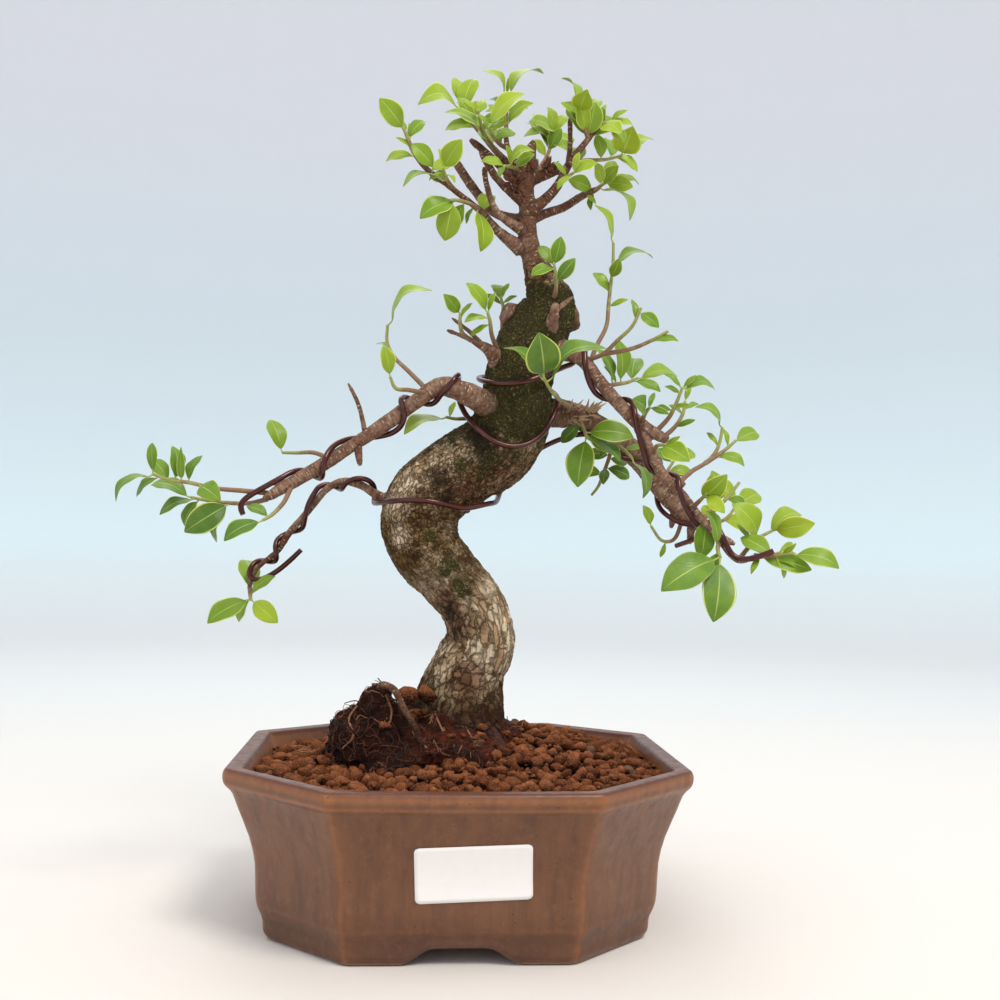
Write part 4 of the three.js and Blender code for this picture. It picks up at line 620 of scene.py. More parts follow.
def leaf_finish():
    """Leaf: its age sets the green, its underside is paler, and its midrib and margin are yellow."""
    f = Finish("ficus_leaf", Subsurface_Weight=0.08, Subsurface_Scale=0.001, Specular_IOR_Level=0.4)
    age = f.attribute("age")
    under = f.attribute("under")
    uv = f.add("SeparateXYZ", {"Vector": f.add("UVMap", uv_map="blade").outputs[0]})
    across = f.math("ABSOLUTE", f.minus(uv.outputs["X"], 0.5))
    along = uv.outputs["Y"]
    green = f.mix(f.span(age, 0, 0.5), (0.335, 0.455, 0.012), (0.135, 0.265, 0.010))
    green = f.mix(f.span(age, 0.5, 1), green, (0.045, 0.130, 0.016))
    green = f.mix(f.span(f.noise(7, 3), 0.4, 0.7, 0, 0.3), green, (0.29, 0.43, 0.045))
    green = f.mix(f.times(under, 0.7), green, (0.27, 0.40, 0.16))
    veins = f.minus(f.times(along, 11), f.times(across, 9))
    veins = f.span(f.math("ABSOLUTE", f.minus(f.math("FRACT", veins), 0.5)), 0.0, 0.09, 1, 0)
    green = f.mix(f.times(veins, 0.12), green, (0.45, 0.60, 0.16))
    rib = f.span(across, 0.010, 0.030, 1, 0)
    green = f.mix(f.times(rib, 0.62), green, (0.55, 0.68, 0.16))
    margin = f.span(across, 0.462, 0.490)
    f.set("Base Color", f.mix(f.times(margin, 0.85), green, (0.66, 0.74, 0.17)))
    gloss = f.span(f.noise(3, 3), 0.3, 0.7, 0.34, 0.46)
    f.set("Roughness", f.plus(gloss, f.times(under, 0.2)))
    f.bump((veins, -0.05), (rib, -0.12), (f.noise(1.6, 2), 0.05))
    return f.material


def stalk_finish():
    f = Finish("leaf_stalk", Roughness=0.42)
    f.set("Base Color", f.mix(f.noise(4, 2), (0.30, 0.40, 0.06), (0.46, 0.50, 0.14)))
    return f.material


def twig_finish():
    """Thin twig: brown at its foot and green towards its tip."""
    f = Finish("green_twig", Roughness=0.6)
    tip = f.ragged("tip", f.noise(3, 3), 0.25)
    brown = f.mix(f.noise(1.0, 3, 0.6), (0.13, 0.06, 0.03), (0.33, 0.19, 0.10))
    green = f.mix(f.noise(1.6, 3), (0.22, 0.24, 0.05), (0.38, 0.38, 0.12))
    f.set("Base Color", f.mix(f.span(tip, 0.35, 0.75), brown, green))
    f.bump((f.noise(0.8, 3), 0.12))
    return f.material


def wire_finish():
    f = Finish("brown_wire", Metallic=0.4, Specular_IOR_Level=0.55)
    f.set("Base Color", f.mix(f.noise(6, 2), (0.048, 0.011, 0.009), (0.095, 0.023, 0.018)))
    f.set("Roughness", f.span(f.noise(2.5, 3), 0.3, 0.7, 0.17, 0.24))
    return f.material


def label_finish():
    f = Finish("label_paper", Roughness=0.45, Coat_Weight=0.15, Coat_Roughness=0.3)
    f.set("Base Color", f.mix(f.noise(3, 4), (0.90, 0.865, 0.85), (0.94, 0.905, 0.89)))
    f.bump((f.noise(5, 3), 0.05))
    return f.material


def mesh_finish():
    f = Finish("screen_plastic", Roughness=0.5)
    f.set("Base Color", f.mix(f.noise(2, 2), (0.02, 0.022, 0.022), (0.04, 0.042, 0.043)))
    return f.material


def studio_finish():
    """Warm white in front, and pale blue and then grey up the wall."""
    f = Finish("pale_studio", Roughness=0.95, Specular_IOR_Level=0.1)
    high = f.times(f.height(), MM)
    back = f.add("SeparateXYZ", {"Vector": f.place}).outputs["Y"]
    paint = f.mix(f.span(back, -0.1, 0.8), (0.80, 0.76, 0.72), (0.76, 0.80, 0.815))
    paint = f.mix(f.span(high, 0.0, 0.16), paint, (0.76, 0.90, 0.96))
    paint = f.mix(f.span(high, 0.16, 0.6), paint, (0.695, 0.785, 0.85))
    paint = f.mix(f.span(high, 0.6, 1.2), paint, (0.75, 0.765, 0.83))
    f.set("Base Color", paint)
    return f.material


# Mesh helpers


def shown(name, data):
    """A new object of the scene, at the origin."""
    made = bpy.data.objects.new(name, data)
    bpy.context.scene.collection.objects.link(made)
    return made


def piece(name, mesh, replaced, materials):
    """A finished piece, at the origin, that rides on the root and stands for its CAD nodes."""
    made = shown(name, mesh)
    if not mesh.materials:
        for material in materials:
            mesh.materials.append(material)
    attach(made, "root")
    if replaced:
        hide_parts(*replaced)
    return made


def mesh_from(bm, name):
    mesh = bpy.data.meshes.new(name)
    bm.to_mesh(mesh)
    bm.free()
    return mesh


def mesh_of(bm, name, smooth=True):
    """The bmesh as a mesh whose faces all look outwards."""
    bmesh.ops.recalc_face_normals(bm, faces=bm.faces[:])
    for face in bm.faces:
        face.smooth = smooth
    return mesh_from(bm, name)


def settled(mesh, *modifiers):
    """The mesh after modifiers, each a kind and its settings, with nothing left live."""
    holder = shown("holder", mesh)
    for kind, settings in modifiers:
        modifier = holder.modifiers.new(kind.lower(), kind)
        for name, value in settings.items():
            setattr(modifier, name, value)
    graph = bpy.context.evaluated_depsgraph_get()
    made = bpy.data.meshes.new_from_object(holder.evaluated_get(graph), depsgraph=graph)
    bpy.data.objects.remove(holder)
    return made


def put_values(mesh, name, values):
    """A number for each point of the mesh, for its material to read."""
    layer = mesh.attributes.get(name) or mesh.attributes.new(name, "FLOAT", "POINT")
    layer.data.foreach_set("value", np.asarray(values, np.float32))


def vertex_rows(mesh, key):
    """The mesh's places or normals, one row for each point."""
    flat = np.empty(3 * len(mesh.vertices))
    mesh.vertices.foreach_get(key, flat)
    return flat.reshape(-1, 3)


def millimetre_rows(mesh):
    """The mesh's places in millimetres from the pot's axis."""
    return (vertex_rows(mesh, "co") - np.array(spot(0, 0, 0))) / MM


def move_points(mesh, points):
    mesh.vertices.foreach_set("co", np.asarray(points).ravel())
    mesh.update()


def smooth_route(points, per_span=6):
    """Rows along a smooth curve through the points, which may hold a radius after x, y and z."""
    rows = [np.array(point, float) for point in points]
    rows = [2 * rows[0] - rows[1], *rows, 2 * rows[-1] - rows[-2]]
    made = []
    for before, start, end, after in zip(rows, rows[1:], rows[2:], rows[3:]):
        pairs = ((before, start), (start, end), (end, after))
        first, span, last = (max(np.linalg.norm((b - a)[:3]), 1e-4) ** 0.5 for a, b in pairs)
        leaving = (start - before) / first - (end - before) / (first + span) + (end - start) / span
        arriving = (end - start) / span - (after - start) / (span + last) + (after - end) / last
        leaving, arriving = leaving * span, arriving * span
        for t in np.arange(per_span) / per_span:
            bend = 3 * (end - start) - 2 * leaving - arriving
            twist = 2 * (start - end) + leaving + arriving
            made.append(start + leaving * t + bend * t**2 + twist * t**3)
    made.append(rows[-2])
    return np.array(made)


def place_on(rows, share):
    """The point at a share of a route's length."""
    steps = np.linalg.norm(np.diff(rows[:, :3], axis=0), axis=1)
    travelled = np.concatenate([[0], np.cumsum(steps)])
    at = share * travelled[-1]
    return Vector([np.interp(at, travelled, rows[:, axis]) for axis in range(3)])


def tubes(name, routes, sides=8):
    """A mesh of round tubes along routes of x, y, z and radius rows, each closed at both ends."""
    curve = bpy.data.curves.new(name, "CURVE")
    curve.dimensions = "3D"
    curve.bevel_depth = 1.0
    curve.bevel_resolution = (sides - 4) // 2
    curve.use_fill_caps = True
    for rows in routes:
        spline = curve.splines.new("POLY")
        spline.points.add(len(rows) - 1)
        for point, (x, y, z, radius) in zip(spline.points, rows):
            point.co = (*spot(x, y, z), 1)
            point.radius = max(radius, 0.08) * MM
    holder = shown(name, curve)
    mesh = bpy.data.meshes.new_from_object(holder)
    bpy.data.objects.remove(holder)
    for polygon in mesh.polygons:
        polygon.use_smooth = True
    return mesh


def fractal(point, octaves=4):
    return noise.fractal(point, 0.8, 2.1, octaves)


def any_way(draw):
    return Vector((draw.gauss(0, 1), draw.gauss(0, 1), draw.gauss(0, 1)))


def round_off(start, corner, end, share):
    """A point of the curve from start to end that bends towards the corner."""
    return start * (1 - share) ** 2 + corner * 2 * share * (1 - share) + end * share**2


# Pot


def octagon(distance, softness):
    """Points round an octagon: x, y and the run along a straight side, or None."""
    slant = distance + CORNER_EXTRA * min(1, distance / NARROW_FROM)
    half = slant * math.sqrt(2) - distance
    slant_half = (distance - half) / math.sqrt(2)
    trim = softness * math.tan(math.pi / 8)
    made = []
    for quarter in range(4):
        turn = Matrix.Rotation(quarter * math.pi / 2, 2)
        for straight in (True, False):
            reach, length = (distance, half) if straight else (slant, slant_half)
            count = 36 if straight else 16
            flat = max(length - trim, 0.2 * length)
            lean = Matrix.Rotation(0 if straight else math.pi / 4, 2)
            for i in range(count + 1):
                along = flat * (2 * i / count - 1)
                place = turn @ lean @ Vector((reach, along))
                made.append((place.x, place.y, along if straight else None))
            for i in range(1, 4):
                made.append((*corner_arc(turn @ lean, (reach, length, flat), i / 4), None))
    return made


def corner_arc(turn, ends, share):
    """A point on the rounded corner that follows a side."""
    reach, length, flat = ends
    start = Vector((reach, flat))
    corner = Vector((reach, length))
    end = corner + Matrix.Rotation(math.pi / 4, 2) @ Vector((0, length - flat))
    return turn @ round_off(start, corner, end, share)


def arch_height(along):
    """How high the foot's arch stands over a place along a straight side."""
    if along is None:
        return 0
    rise = (ARCH["half"] - abs(along)) / (ARCH["half"] - ARCH["flat"])
    rise = min(max(rise, 0), 1)
    return ARCH["height"] * rise * rise * (3 - 2 * rise)


def rounded(profile, steps=4):
    """A profile of (distance, height, radius) with its corners rounded."""
    made = []
    for i, (distance, height, radius) in enumerate(profile):
        corner = Vector((distance, height))
        if radius == 0:
            made.append(corner)
            continue
        before = Vector(profile[i - 1][:2]) - corner
        after = Vector(profile[i + 1][:2]) - corner
        start = corner + before.normalized() * min(radius, before.length / 2)
        end = corner + after.normalized() * min(radius, after.length / 2)
        for k in range(steps + 1):
            made.append(round_off(start, corner, end, k / steps))
    return made


def loft(rings):
    """A bmesh of closed rings of points, each extruded from the one before. Ends are filled."""
    bm = bmesh.new()
    order = bm.verts.layers.int.new("order")
    bmesh.ops.create_circle(bm, segments=len(rings[0]), radius=1)
    bm.verts.ensure_lookup_table()
    edges = bm.edges[:]
    verts = bm.verts[:]
    for i, vert in enumerate(verts):
        vert[order] = i
    for k, ring in enumerate(rings):
        if k:
            grown = bmesh.ops.extrude_edge_only(bm, edges=edges)["geom"]
            verts = [item for item in grown if isinstance(item, bmesh.types.BMVert)]
            edges = [item for item in grown if isinstance(item, bmesh.types.BMEdge)]
            edges = [edge for edge in edges if all(vert in set(verts) for vert in edge.verts)]
        for vert in verts:
            vert.co = ring[vert[order]]
    bmesh.ops.holes_fill(bm, edges=bm.edges[:], sides=0)
    return bm


OUTER_WALL = [
    (72.3, 2.6, 1), (72.6, 7.5, 1.5), (74.9, 12.6, 2), (75.3, 17, 0), (75.5, 22, 0), (75.8, 28, 0),
    (76.7, 33, 0), (78.1, 38, 0), (80.0, 43, 0), (82.1, 48, 0), (84.2, 53.4, 0), (85.1, 54.8, 0.7),
    (87.3, 56.7, 1.4), (87.95, 60.0, 1.8), (86.9, 62.45, 1.1),
]
INNER_WALL = [(81.1, 62.3, 0.7), (80.3, 60.4, 0.8), (76.6, 50, 0), (73, 40, 0), (69.8, 14, 2), (66, 10, 2)]


FOOT_OUTSIDE = 70.5
BASE_STEPS = (2, 14, 40)
INNER_FLOOR = 10


def pot_rings():
    """The pot's whole section, from the middle of its underside round to its floor."""
    recess = FOOT_OUTSIDE - FOOT_WIDTH
    middle = [(distance, UNDERSIDE, 0) for distance in BASE_STEPS]
    under = [(recess - 2, UNDERSIDE, 0.8), (recess, 0, 0.8), (FOOT_OUTSIDE, 0, 0.8)]
    floor = [(distance, INNER_FLOOR, 0) for distance in reversed(BASE_STEPS)]
    return rounded([*middle, *under, *OUTER_WALL, *INNER_WALL, *floor])


def rim_lift(x, height):
    """The rim's warp: how far the wall stands up to the left and right."""
    share = np.clip((height - WARP_FROM) / (POT_TOP - WARP_FROM), 0, 1)
    return RIM_LIFT * share * (x / RIM_HALF) ** 2


def pot_ring(distance, height):
    """One ring of the pot, with the arches lifted over the foot."""
    softness = SOFTNESS["wall" if height < SOFTNESS["rim_from"] else "rim"]
    top = LEDGE if distance > OUTSIDE_FROM else UNDERSIDE
    made = []
    for x, y, along in octagon(distance, softness):
        lift = arch_height(along) * max(0, 1 - height / top) if distance > ARCHED_FROM else 0
        made.append(spot(x, y, height + lift + rim_lift(x, height)))
    return made


def make_pot():
    mesh = mesh_of(loft([pot_ring(distance, height) for distance, height in pot_rings()]), "pot_body")
    cutters = drain_cutters()
    mesh = settled(mesh, *[("BOOLEAN", {"object": cutter, "solver": "EXACT"}) for cutter in cutters])
    for cutter in cutters:
        bpy.data.objects.remove(cutter)
    wear_of_pot(mesh)
    mesh.materials.clear()
    piece("pot_body", mesh, ["pot"], [glaze_finish(), raw_clay_finish()])
    for polygon in mesh.polygons:
        middle = polygon.center
        inside = Vector((middle.x - POT_AXIS.x, middle.y)).length < BARE_CLAY["within"] * MM
        polygon.material_index = 1 if inside and middle.z - POT_LOW.z < BARE_CLAY["below"] * MM else 0


def drain_cutters():
    """The round bars that cut the drain holes."""
    made = []
    radius = DRAIN["radius"] * MM
    for way in (-1, 1):
        bm = bmesh.new()
        bmesh.ops.create_cone(bm, cap_ends=True, segments=DRAIN["sides"], radius1=radius,
                              radius2=radius, depth=DRAIN["depth"] * MM)
        bmesh.ops.translate(bm, verts=bm.verts[:], vec=spot(way * DRAIN["offset"], 0, DRAIN["middle"]))
        cutter = shown(f"drain_cutter_{way}", mesh_of(bm, "drain_cutter"))
        cutter.hide_render = True
        made.append(cutter)
    return made


# Where the glaze wears: a height or a distance from the axis, and how far round it the wear reaches
LIP_FACE = (60.0, 1.3)
LIP_FOOT = (56.6, 0.7)
WALL_LEDGE = (12.6, 0.9)
RIM_TOP = (62.1, 0.45)
RIM_INSIDE = (80.8, 0.5)
CORNER_REACH = 1.3
BARE_SPOT = ((-60, -66, 6), 3.2)


def bell(values, middle, reach):
    """1 where the values meet the middle, fading to 0 beyond the reach."""
    return np.exp(-(((values - middle) / reach) ** 2))


def round_patch(points, middle, reach):
    """How strongly a round patch covers each point."""
    return bell(np.linalg.norm(points - np.array(middle), axis=1), 0, reach)


def wear_of_pot(mesh):
    """Where the glaze runs thin, on the lip's face and down the corners, and where it is dark or bare."""
    points = millimetre_rows(mesh)
    x, y, z = np.abs(points[:, 0]), np.abs(points[:, 1]), points[:, 2]
    z = z - rim_lift(x, z)
    straight = np.maximum(x, y)
    slant = (x + y) / math.sqrt(2) - CORNER_EXTRA
    out = np.maximum(straight, slant)
    corner = np.exp(-np.abs(straight - slant) / CORNER_REACH)
    band = 0.75 * bell(z, *LIP_FACE) + 0.9 * bell(z, *LIP_FOOT)
    ledge = 0.25 * bell(z, *WALL_LEDGE)
    put_values(mesh, "thin", np.clip(0.6 * corner + band + ledge, 0, 1) * (out > 70))
    top_edge = bell(z, *RIM_TOP) * (out > 85.5)
    inner_edge = bell(out, *RIM_INSIDE) * (z > 59)
    put_values(mesh, "edge", np.maximum(top_edge, 0.9 * inner_edge))
    put_values(mesh, "bare", round_patch(points, *BARE_SPOT))


# Soil and roots


def soil_height(x, y):
    swell = SOIL_RISE * (1 - math.hypot(x, y) / RIM_HALF)
    away = math.hypot(x - HEAP["x"], y - HEAP["y"]) / HEAP["spread"]
    return SOIL_LEVEL + swell + HEAP["rise"] * math.exp(-(away**2) / 2)


def inside_rim(x, y, distance):
    """How far inside the octagonal wall a place lies, where the wall's straight sides stand at distance."""
    x, y = abs(x), abs(y)
    return min(distance - max(x, y), distance + CORNER_EXTRA - (x + y) / math.sqrt(2))


def mound_share(x, y):
    """0 at the root ball's middle, and 1 where it meets its widest line."""
    return math.hypot((x - ROOT_BALL["x"]) / ROOT_BALL["across"], (y - ROOT_BALL["y"]) / ROOT_BALL["deep"])


def make_soil():
    """The bed of packed clay that the loose granules lie on, painted near black as shade in the gaps between
    them.
    """
    rings = []
    wall = [(0.5, 10.3), (66, 10.3), (69.3, 14.3), (72.5, 40.3), (BED["edge"], 53.5)]
    tops = [(share * BED["edge"], None) for share in (0.94, 0.85, 0.7, 0.5, 0.3, 0.1)]
    for distance, height in wall + tops:
        ring = []
        for x, y, _ in octagon(distance, 3):
            lump = BED["lump"] * fractal(Vector((x, y, 0)) / 5)
            ring.append(spot(x, y, soil_height(x, y) - BED["below"] + lump if height is None else height))
        rings.append(ring)
    mesh = mesh_of(loft(rings), "soil_bed")
    # The darkest tone, and with no top value the granules' painted underside shade covers most of it, so the
    # bed shows as painted shade between the granules.
    put_values(mesh, "tone", np.full(len(mesh.vertices), 0.05))
    piece("soil_bed", mesh, [], [granule_finish()])


GRANULES_WITHIN = 79.6
CLEAR_OF_MOUND = 0.88
STAGGER = 0.22
ROW_SHARE = 0.87
GRANULE = {"spacing": 5.9, "small": 2.2, "large": 3.9, "layers": ((-3.0, 41), (-0.4, 42))}
CRUMB = {"spacing": 4.4, "small": 0.8, "large": 1.9, "layers": ((-0.6, 43),)}
SHOWN_GRANULES = ((-67, -36, 59.8, 4.6, 0.55), (-20.4, -23, 88.0, 4.0, 0.5), (-12.4, -23, 88.4, 4.5, 0.6))


def granule_places(kind):
    """Places and radii of the granules, in layers on jittered rows of a honeycomb."""
    made = []
    pitch = kind["spacing"]
    count = int(RIM_HALF / pitch) + 1
    for depth, seed in kind["layers"]:
        draw = random.Random(seed)
        for row in range(-count, count + 1):
            for column in range(-count, count + 1):
                shift = 0.5 * (row % 2)
                x = (column + shift) * pitch + draw.uniform(-STAGGER, STAGGER) * pitch
                y = row * pitch * ROW_SHARE + draw.uniform(-STAGGER, STAGGER) * pitch
                radius = draw.triangular(kind["small"], kind["large"])
                height = soil_height(x, y) + depth + draw.uniform(-1.0, 1.0)
                tone = draw.random()
                if inside_rim(x, y, GRANULES_WITHIN) > radius and mound_share(x, y) > CLEAR_OF_MOUND:
                    made.append((x, y, height, radius, tone))
    return made


# Spots of granules on the root ball: middle x and y, count and spread
MOUND_SPOTS = (
    (-20, -16, 8, 6), (-14, -12, 8, 5), (24, -22, 14, 8), (-40, -24, 6, 8), (10, -31, 10, 8),
    (-30, 16, 14, 12), (20, 20, 16, 12),
)
TRUNK_CLEARING = 20
DROP_HEIGHT = 130


def mound_granules(tree):
    """The few granules that lie on the root ball, mostly between its knob and the trunk."""
    draw = random.Random(7)
    made = list(SHOWN_GRANULES)
    for x, y, count, spread in MOUND_SPOTS:
        for _ in range(count):
            px, py = x + draw.gauss(0, spread), y + draw.gauss(0, spread * 0.7)
            radius = draw.uniform(1.2, 2.9)
            top = tree.ray_cast(spot(px, py, DROP_HEIGHT), -UP)[0]
            if top is not None and math.hypot(px - 3, py) > TRUNK_CLEARING:
                made.append((px, py, (top.z - POT_LOW.z) / MM + radius * 0.3, radius, draw.random()))
    return made


def chips_of(draw):
    """Flat chips for one granule: each a direction and how far out it cuts."""
    made = []
    for _ in range(8):
        direction = any_way(draw).normalized()
        made.append((direction, draw.uniform(0.56, 0.86)))
    return made


def granule_point(place, chips, seed):
    """A point of a ball of radius 1, made lumpy and drawn in to the chips."""
    place = place * (1.06 + 0.24 * noise.noise(place * 1.4 + seed))
    for direction, reach in chips:
        over = place.dot(direction) - reach
        if over > 0:
            place = place - direction * over
    return place * (1 + 0.15 * noise.noise(place * 3.4 + seed))


def ball_mesh(subdivisions):
    bm = bmesh.new()
    bmesh.ops.create_icosphere(bm, subdivisions=subdivisions, radius=1)
    return mesh_from(bm, "granule")


def add_granule(bm, layers, shape, granule, draw):
    """Stamps one granule, chipped, stretched and turned, with its tone and how far up a point lies, which
    sets the granule's painted underside shade.
    """
    tone_layer, shade_height_layer = layers
    x, y, z, radius, tone = granule
    start = len(bm.verts)
    bm.from_mesh(shape)
    bm.verts.ensure_lookup_table()
    angle = draw.uniform(0, 6.3)
    turn = Matrix.Rotation(angle, 3, Vector((draw.gauss(0, 0.5), draw.gauss(0, 0.5), 1)))
    size = Vector((draw.uniform(0.95, 1.25), draw.uniform(0.8, 1.0), draw.uniform(0.7, 0.95)))
    chips, seed = chips_of(draw), Vector((x, y, z))
    for vert in bm.verts[start:]:
        place = granule_point(vert.co, chips, seed)
        place = turn @ Vector([a * b for a, b in zip(place, size)])
        vert.co = spot(x, y, z) + place * radius * MM
        vert[tone_layer] = tone
        # How far up the point lies on its granule: the material paints shade on the lower side from this.
        vert[shade_height_layer] = place.z


def make_granules(tree):
    """The loose granules as one mesh."""
    bm = bmesh.new()
    # The top layer holds each point's height on its granule, for the painted underside shade.
    layers = (bm.verts.layers.float.new("tone"), bm.verts.layers.float.new("top"))
    draw = random.Random(5)
    lots = (
        (ball_mesh(2), granule_places(GRANULE) + mound_granules(tree)),
        (ball_mesh(1), granule_places(CRUMB)),
    )
    for shape, granules in lots:
        for granule in granules:
            add_granule(bm, layers, shape, granule, draw)
    mesh = mesh_of(bm, "soil_granules", smooth=False)
    piece("soil_granules", mesh, ["soil"], [granule_finish()])


def mound_shape(direction):
    """The root ball's plain surface in a direction from its middle."""
    ball = ROOT_BALL
    x, y, z = direction
    angle = math.atan2(y, x)
    lumps = 1 + 0.06 * math.sin(5 * angle + 3 * z) + 0.05 * math.sin(9 * angle - 6 * z)
    left = max(0, -x)
    high = ball["above"] + ball["left_rise"] * left * (1 - 0.5 * left) if z > 0 else ball["below"]
    place = Vector((x * ball["across"], y * ball["deep"], z * high)) * lumps
    return Vector((ball["x"], ball["y"], ball["z"])) + place


def knob_shape(knob):
    """The surface of one of the lumps on the left of the root ball."""
    middle, half = knob
    return lambda direction: [m + h * d for m, h, d in zip(middle, half, direction)]


MOUND_SKIN = {"voxel": 0.85, "smoothings": 8, "sunk": 0.6}
# Lumps of the root ball: height, size and octaves
MOUND_LUMPS = ((1.9, 9, 5), (1.2, 2.6, 3))


def make_mound():
    """The root ball and its knobs as one rough skin, and a tree that finds places on it."""
    bm = bmesh.new()
    for shape in (mound_shape, *map(knob_shape, KNOBS)):
        for vert in bmesh.ops.create_icosphere(bm, subdivisions=5, radius=1)["verts"]:
            vert.co = spot(*shape(vert.co.normalized()))
    mesh = settled(
        mesh_of(bm, "root_mound"),
        ("REMESH", {"mode": "VOXEL", "voxel_size": MOUND_SKIN["voxel"] * MM, "use_smooth_shade": True}),
        ("SMOOTH", {"factor": 0.5, "iterations": MOUND_SKIN["smoothings"]}),
    )
    places = vertex_rows(mesh, "co")
    rough = [sum(high * fractal(Vector(place) / (size * MM), octaves) for high, size, octaves in MOUND_LUMPS)
             for place in places]
    rise = np.array(rough)[:, None] - MOUND_SKIN["sunk"]
    move_points(mesh, places + vertex_rows(mesh, "normal") * rise * MM)
    piece("root_mound", mesh, ["root_ball"], [peat_finish()])
    faces = [face.vertices for face in mesh.polygons]
    return BVHTree.FromPolygons([vert.co for vert in mesh.vertices], faces)


THREADS_ROUND = {"x": -14, "y": -4, "z": 62, "across": 42, "up": 30}


def root_thread(tree, draw, radius):
    """A thin root that wanders over the mound, dipping in and out of it, or curling off it at its end."""
    around, rise = draw.uniform(0, 2 * math.pi), draw.uniform(-0.05, 1)
    flat = math.sqrt(1 - rise**2)
    y = math.sin(around) * flat
    if y > 0 and draw.random() < 0.5:
        y = -y
    ball = THREADS_ROUND
    start = spot(ball["x"] + ball["across"] * math.cos(around) * flat, ball["y"] + ball["across"] * y,
                 ball["z"] + ball["up"] * rise)
    place, normal = tree.find_nearest(start)[:2]
    heading = any_way(draw)
    loose = draw.random() < 0.25
    rows = []
    count = draw.randint(6, 12)
    for i in range(count):
        heading = (heading - normal * heading.dot(normal)).normalized()
        heading = Matrix.Rotation(draw.gauss(0, 0.55), 3, normal) @ heading
        lift = 0.55 * math.sin(i * 1.1 + around) + 0.15
        if loose and i > count - 5:
            lift += 0.8 * (i - count + 5)
        rows.append((*((place + normal * lift * MM - spot(0, 0, 0)) / MM), radius * (1 - 0.05 * i)))
        place, normal = tree.find_nearest(place + heading * draw.uniform(1.4, 2.6) * MM)[:2]
    return smooth_route(rows, 3)


# Rootlets that show on the mound's front, through places x and z
SHOWN_ROOTLETS = (
    ((-29, 88), (-26.7, 83), (-27, 79), (-29, 76)),
    ((-2.5, 70.7), (0.9, 76.4), (3.5, 74), (5.6, 70.7)),
    ((-13, 81), (-9, 79), (-6.7, 75.4)),
    ((-40, 84), (-43, 79), (-41, 73), (-45, 68)),
    ((-20, 84), (-16, 80), (-18, 74), (-13, 70)),
)


def shown_rootlet(tree, places):
    """A pale rootlet over the mound's front."""
    rows = []
    for x, z in places:
        found = tree.ray_cast(spot(x, -90, z), -VIEWER)[0]
        if found is not None:
            rows.append((*((found + VIEWER * 0.4 * MM - spot(0, 0, 0)) / MM), 0.42))
    return smooth_route(rows, 5)


STRAW = {"x": (-74, -50), "y": (-52, 20), "length": (4, 11), "above": 2.6, "radius": 0.22, "count": 7}


def straw(draw):
    """A thin dry bit that lies on the soil, on the left."""
    x, y = draw.uniform(*STRAW["x"]), draw.uniform(*STRAW["y"])
    heading, length = draw.uniform(0, 6.3), draw.uniform(*STRAW["length"])
    rows = []
    for i in range(4):
        lift = STRAW["above"] + 0.8 * math.sin(i + heading)
        rows.append((x, y, soil_height(x, y) + lift, STRAW["radius"]))
        heading += draw.gauss(0, 0.3)
        x += math.cos(heading) * length / 3
        y += math.sin(heading) * length / 3
    return smooth_route(rows, 3)


def make_threads(tree):
    """Fine roots over the mound: dark, red-brown and pale."""
    kinds = (
        ("dark", 210, 0.22, (0.008, 0.003, 0.002), (0.034, 0.011, 0.005)),
        ("rusty", 250, 0.15, (0.050, 0.009, 0.003), (0.19, 0.040, 0.012)),
        ("pale", 24, 0.16, (0.16, 0.060, 0.025), (0.40, 0.20, 0.10)),
    )
    for name, count, radius, dark, pale in kinds:
        draw = random.Random(name)
        routes = [root_thread(tree, draw, radius * draw.uniform(0.6, 1.4)) for _ in range(count)]
        if name == "pale":
            routes += [shown_rootlet(tree, places) for places in SHOWN_ROOTLETS]
            routes += [straw(draw) for _ in range(STRAW["count"])]
        finish = root_finish(f"{name}_root", dark, pale)
        piece(f"fine_roots_{name}", tubes(f"fine_roots_{name}", routes, 6), [], [finish])


# Wood


def framed(rows):
    """Samples along a route: place, radius, distance along and two directions across it."""
    places = rows[:, :3]
    tangents = np.gradient(places, axis=0)
    tangents /= np.linalg.norm(tangents, axis=1)[:, None]
    steps = np.linalg.norm(np.diff(places, axis=0), axis=1)
    along = np.concatenate([[0], np.cumsum(steps)])
    first = np.cross(tangents[0], (0.3, 1, 0.2))
    across = []
    for tangent in tangents:
        first = first - tangent * first.dot(tangent)
        first /= np.linalg.norm(first)
        across.append(first)
    across = np.array(across)
    return {"place": places, "radius": rows[:, 3], "along": along, "across": across,
            "deep": np.cross(tangents, across), "tangent": tangents}


WOOD = [TRUNK, LEFT_HIGH, LEFT_LOW, RIGHT_HIGH, RIGHT_FRONT, RIGHT_BACK, *CROWN_LIMBS, *STUBS, *ROOTS]
THIN_WOOD = 2.0
THIN_OVERLAP = 0.6
BARK_SKIN = {"voxel": 0.75, "smoothings": 4}
AT_ONE_TIME = 2000
ROUTES_APART = 400
SMOOTH_ABOVE = 262
YOUNG_RADII = (4.8, 7.2)
MOSS_HEIGHTS = ((176, 204), (250, 262))
CHALKY_HEIGHTS = ((86, 98), (124, 142))
DAMP_HEIGHTS = (79, 92)
LIMB_HEIGHTS = (150, 250)


def all_samples():
    """Every wood route's samples in one table, each route's distance along set apart from the others."""
    parts = [framed(smooth_route(route, 8)) for route in WOOD]
    for i, part in enumerate(parts):
        part["along"] = part["along"] + ROUTES_APART * i
        part["route"] = np.full(len(part["along"]), i)
    return {key: np.concatenate([part[key] for part in parts]) for key in parts[0]}


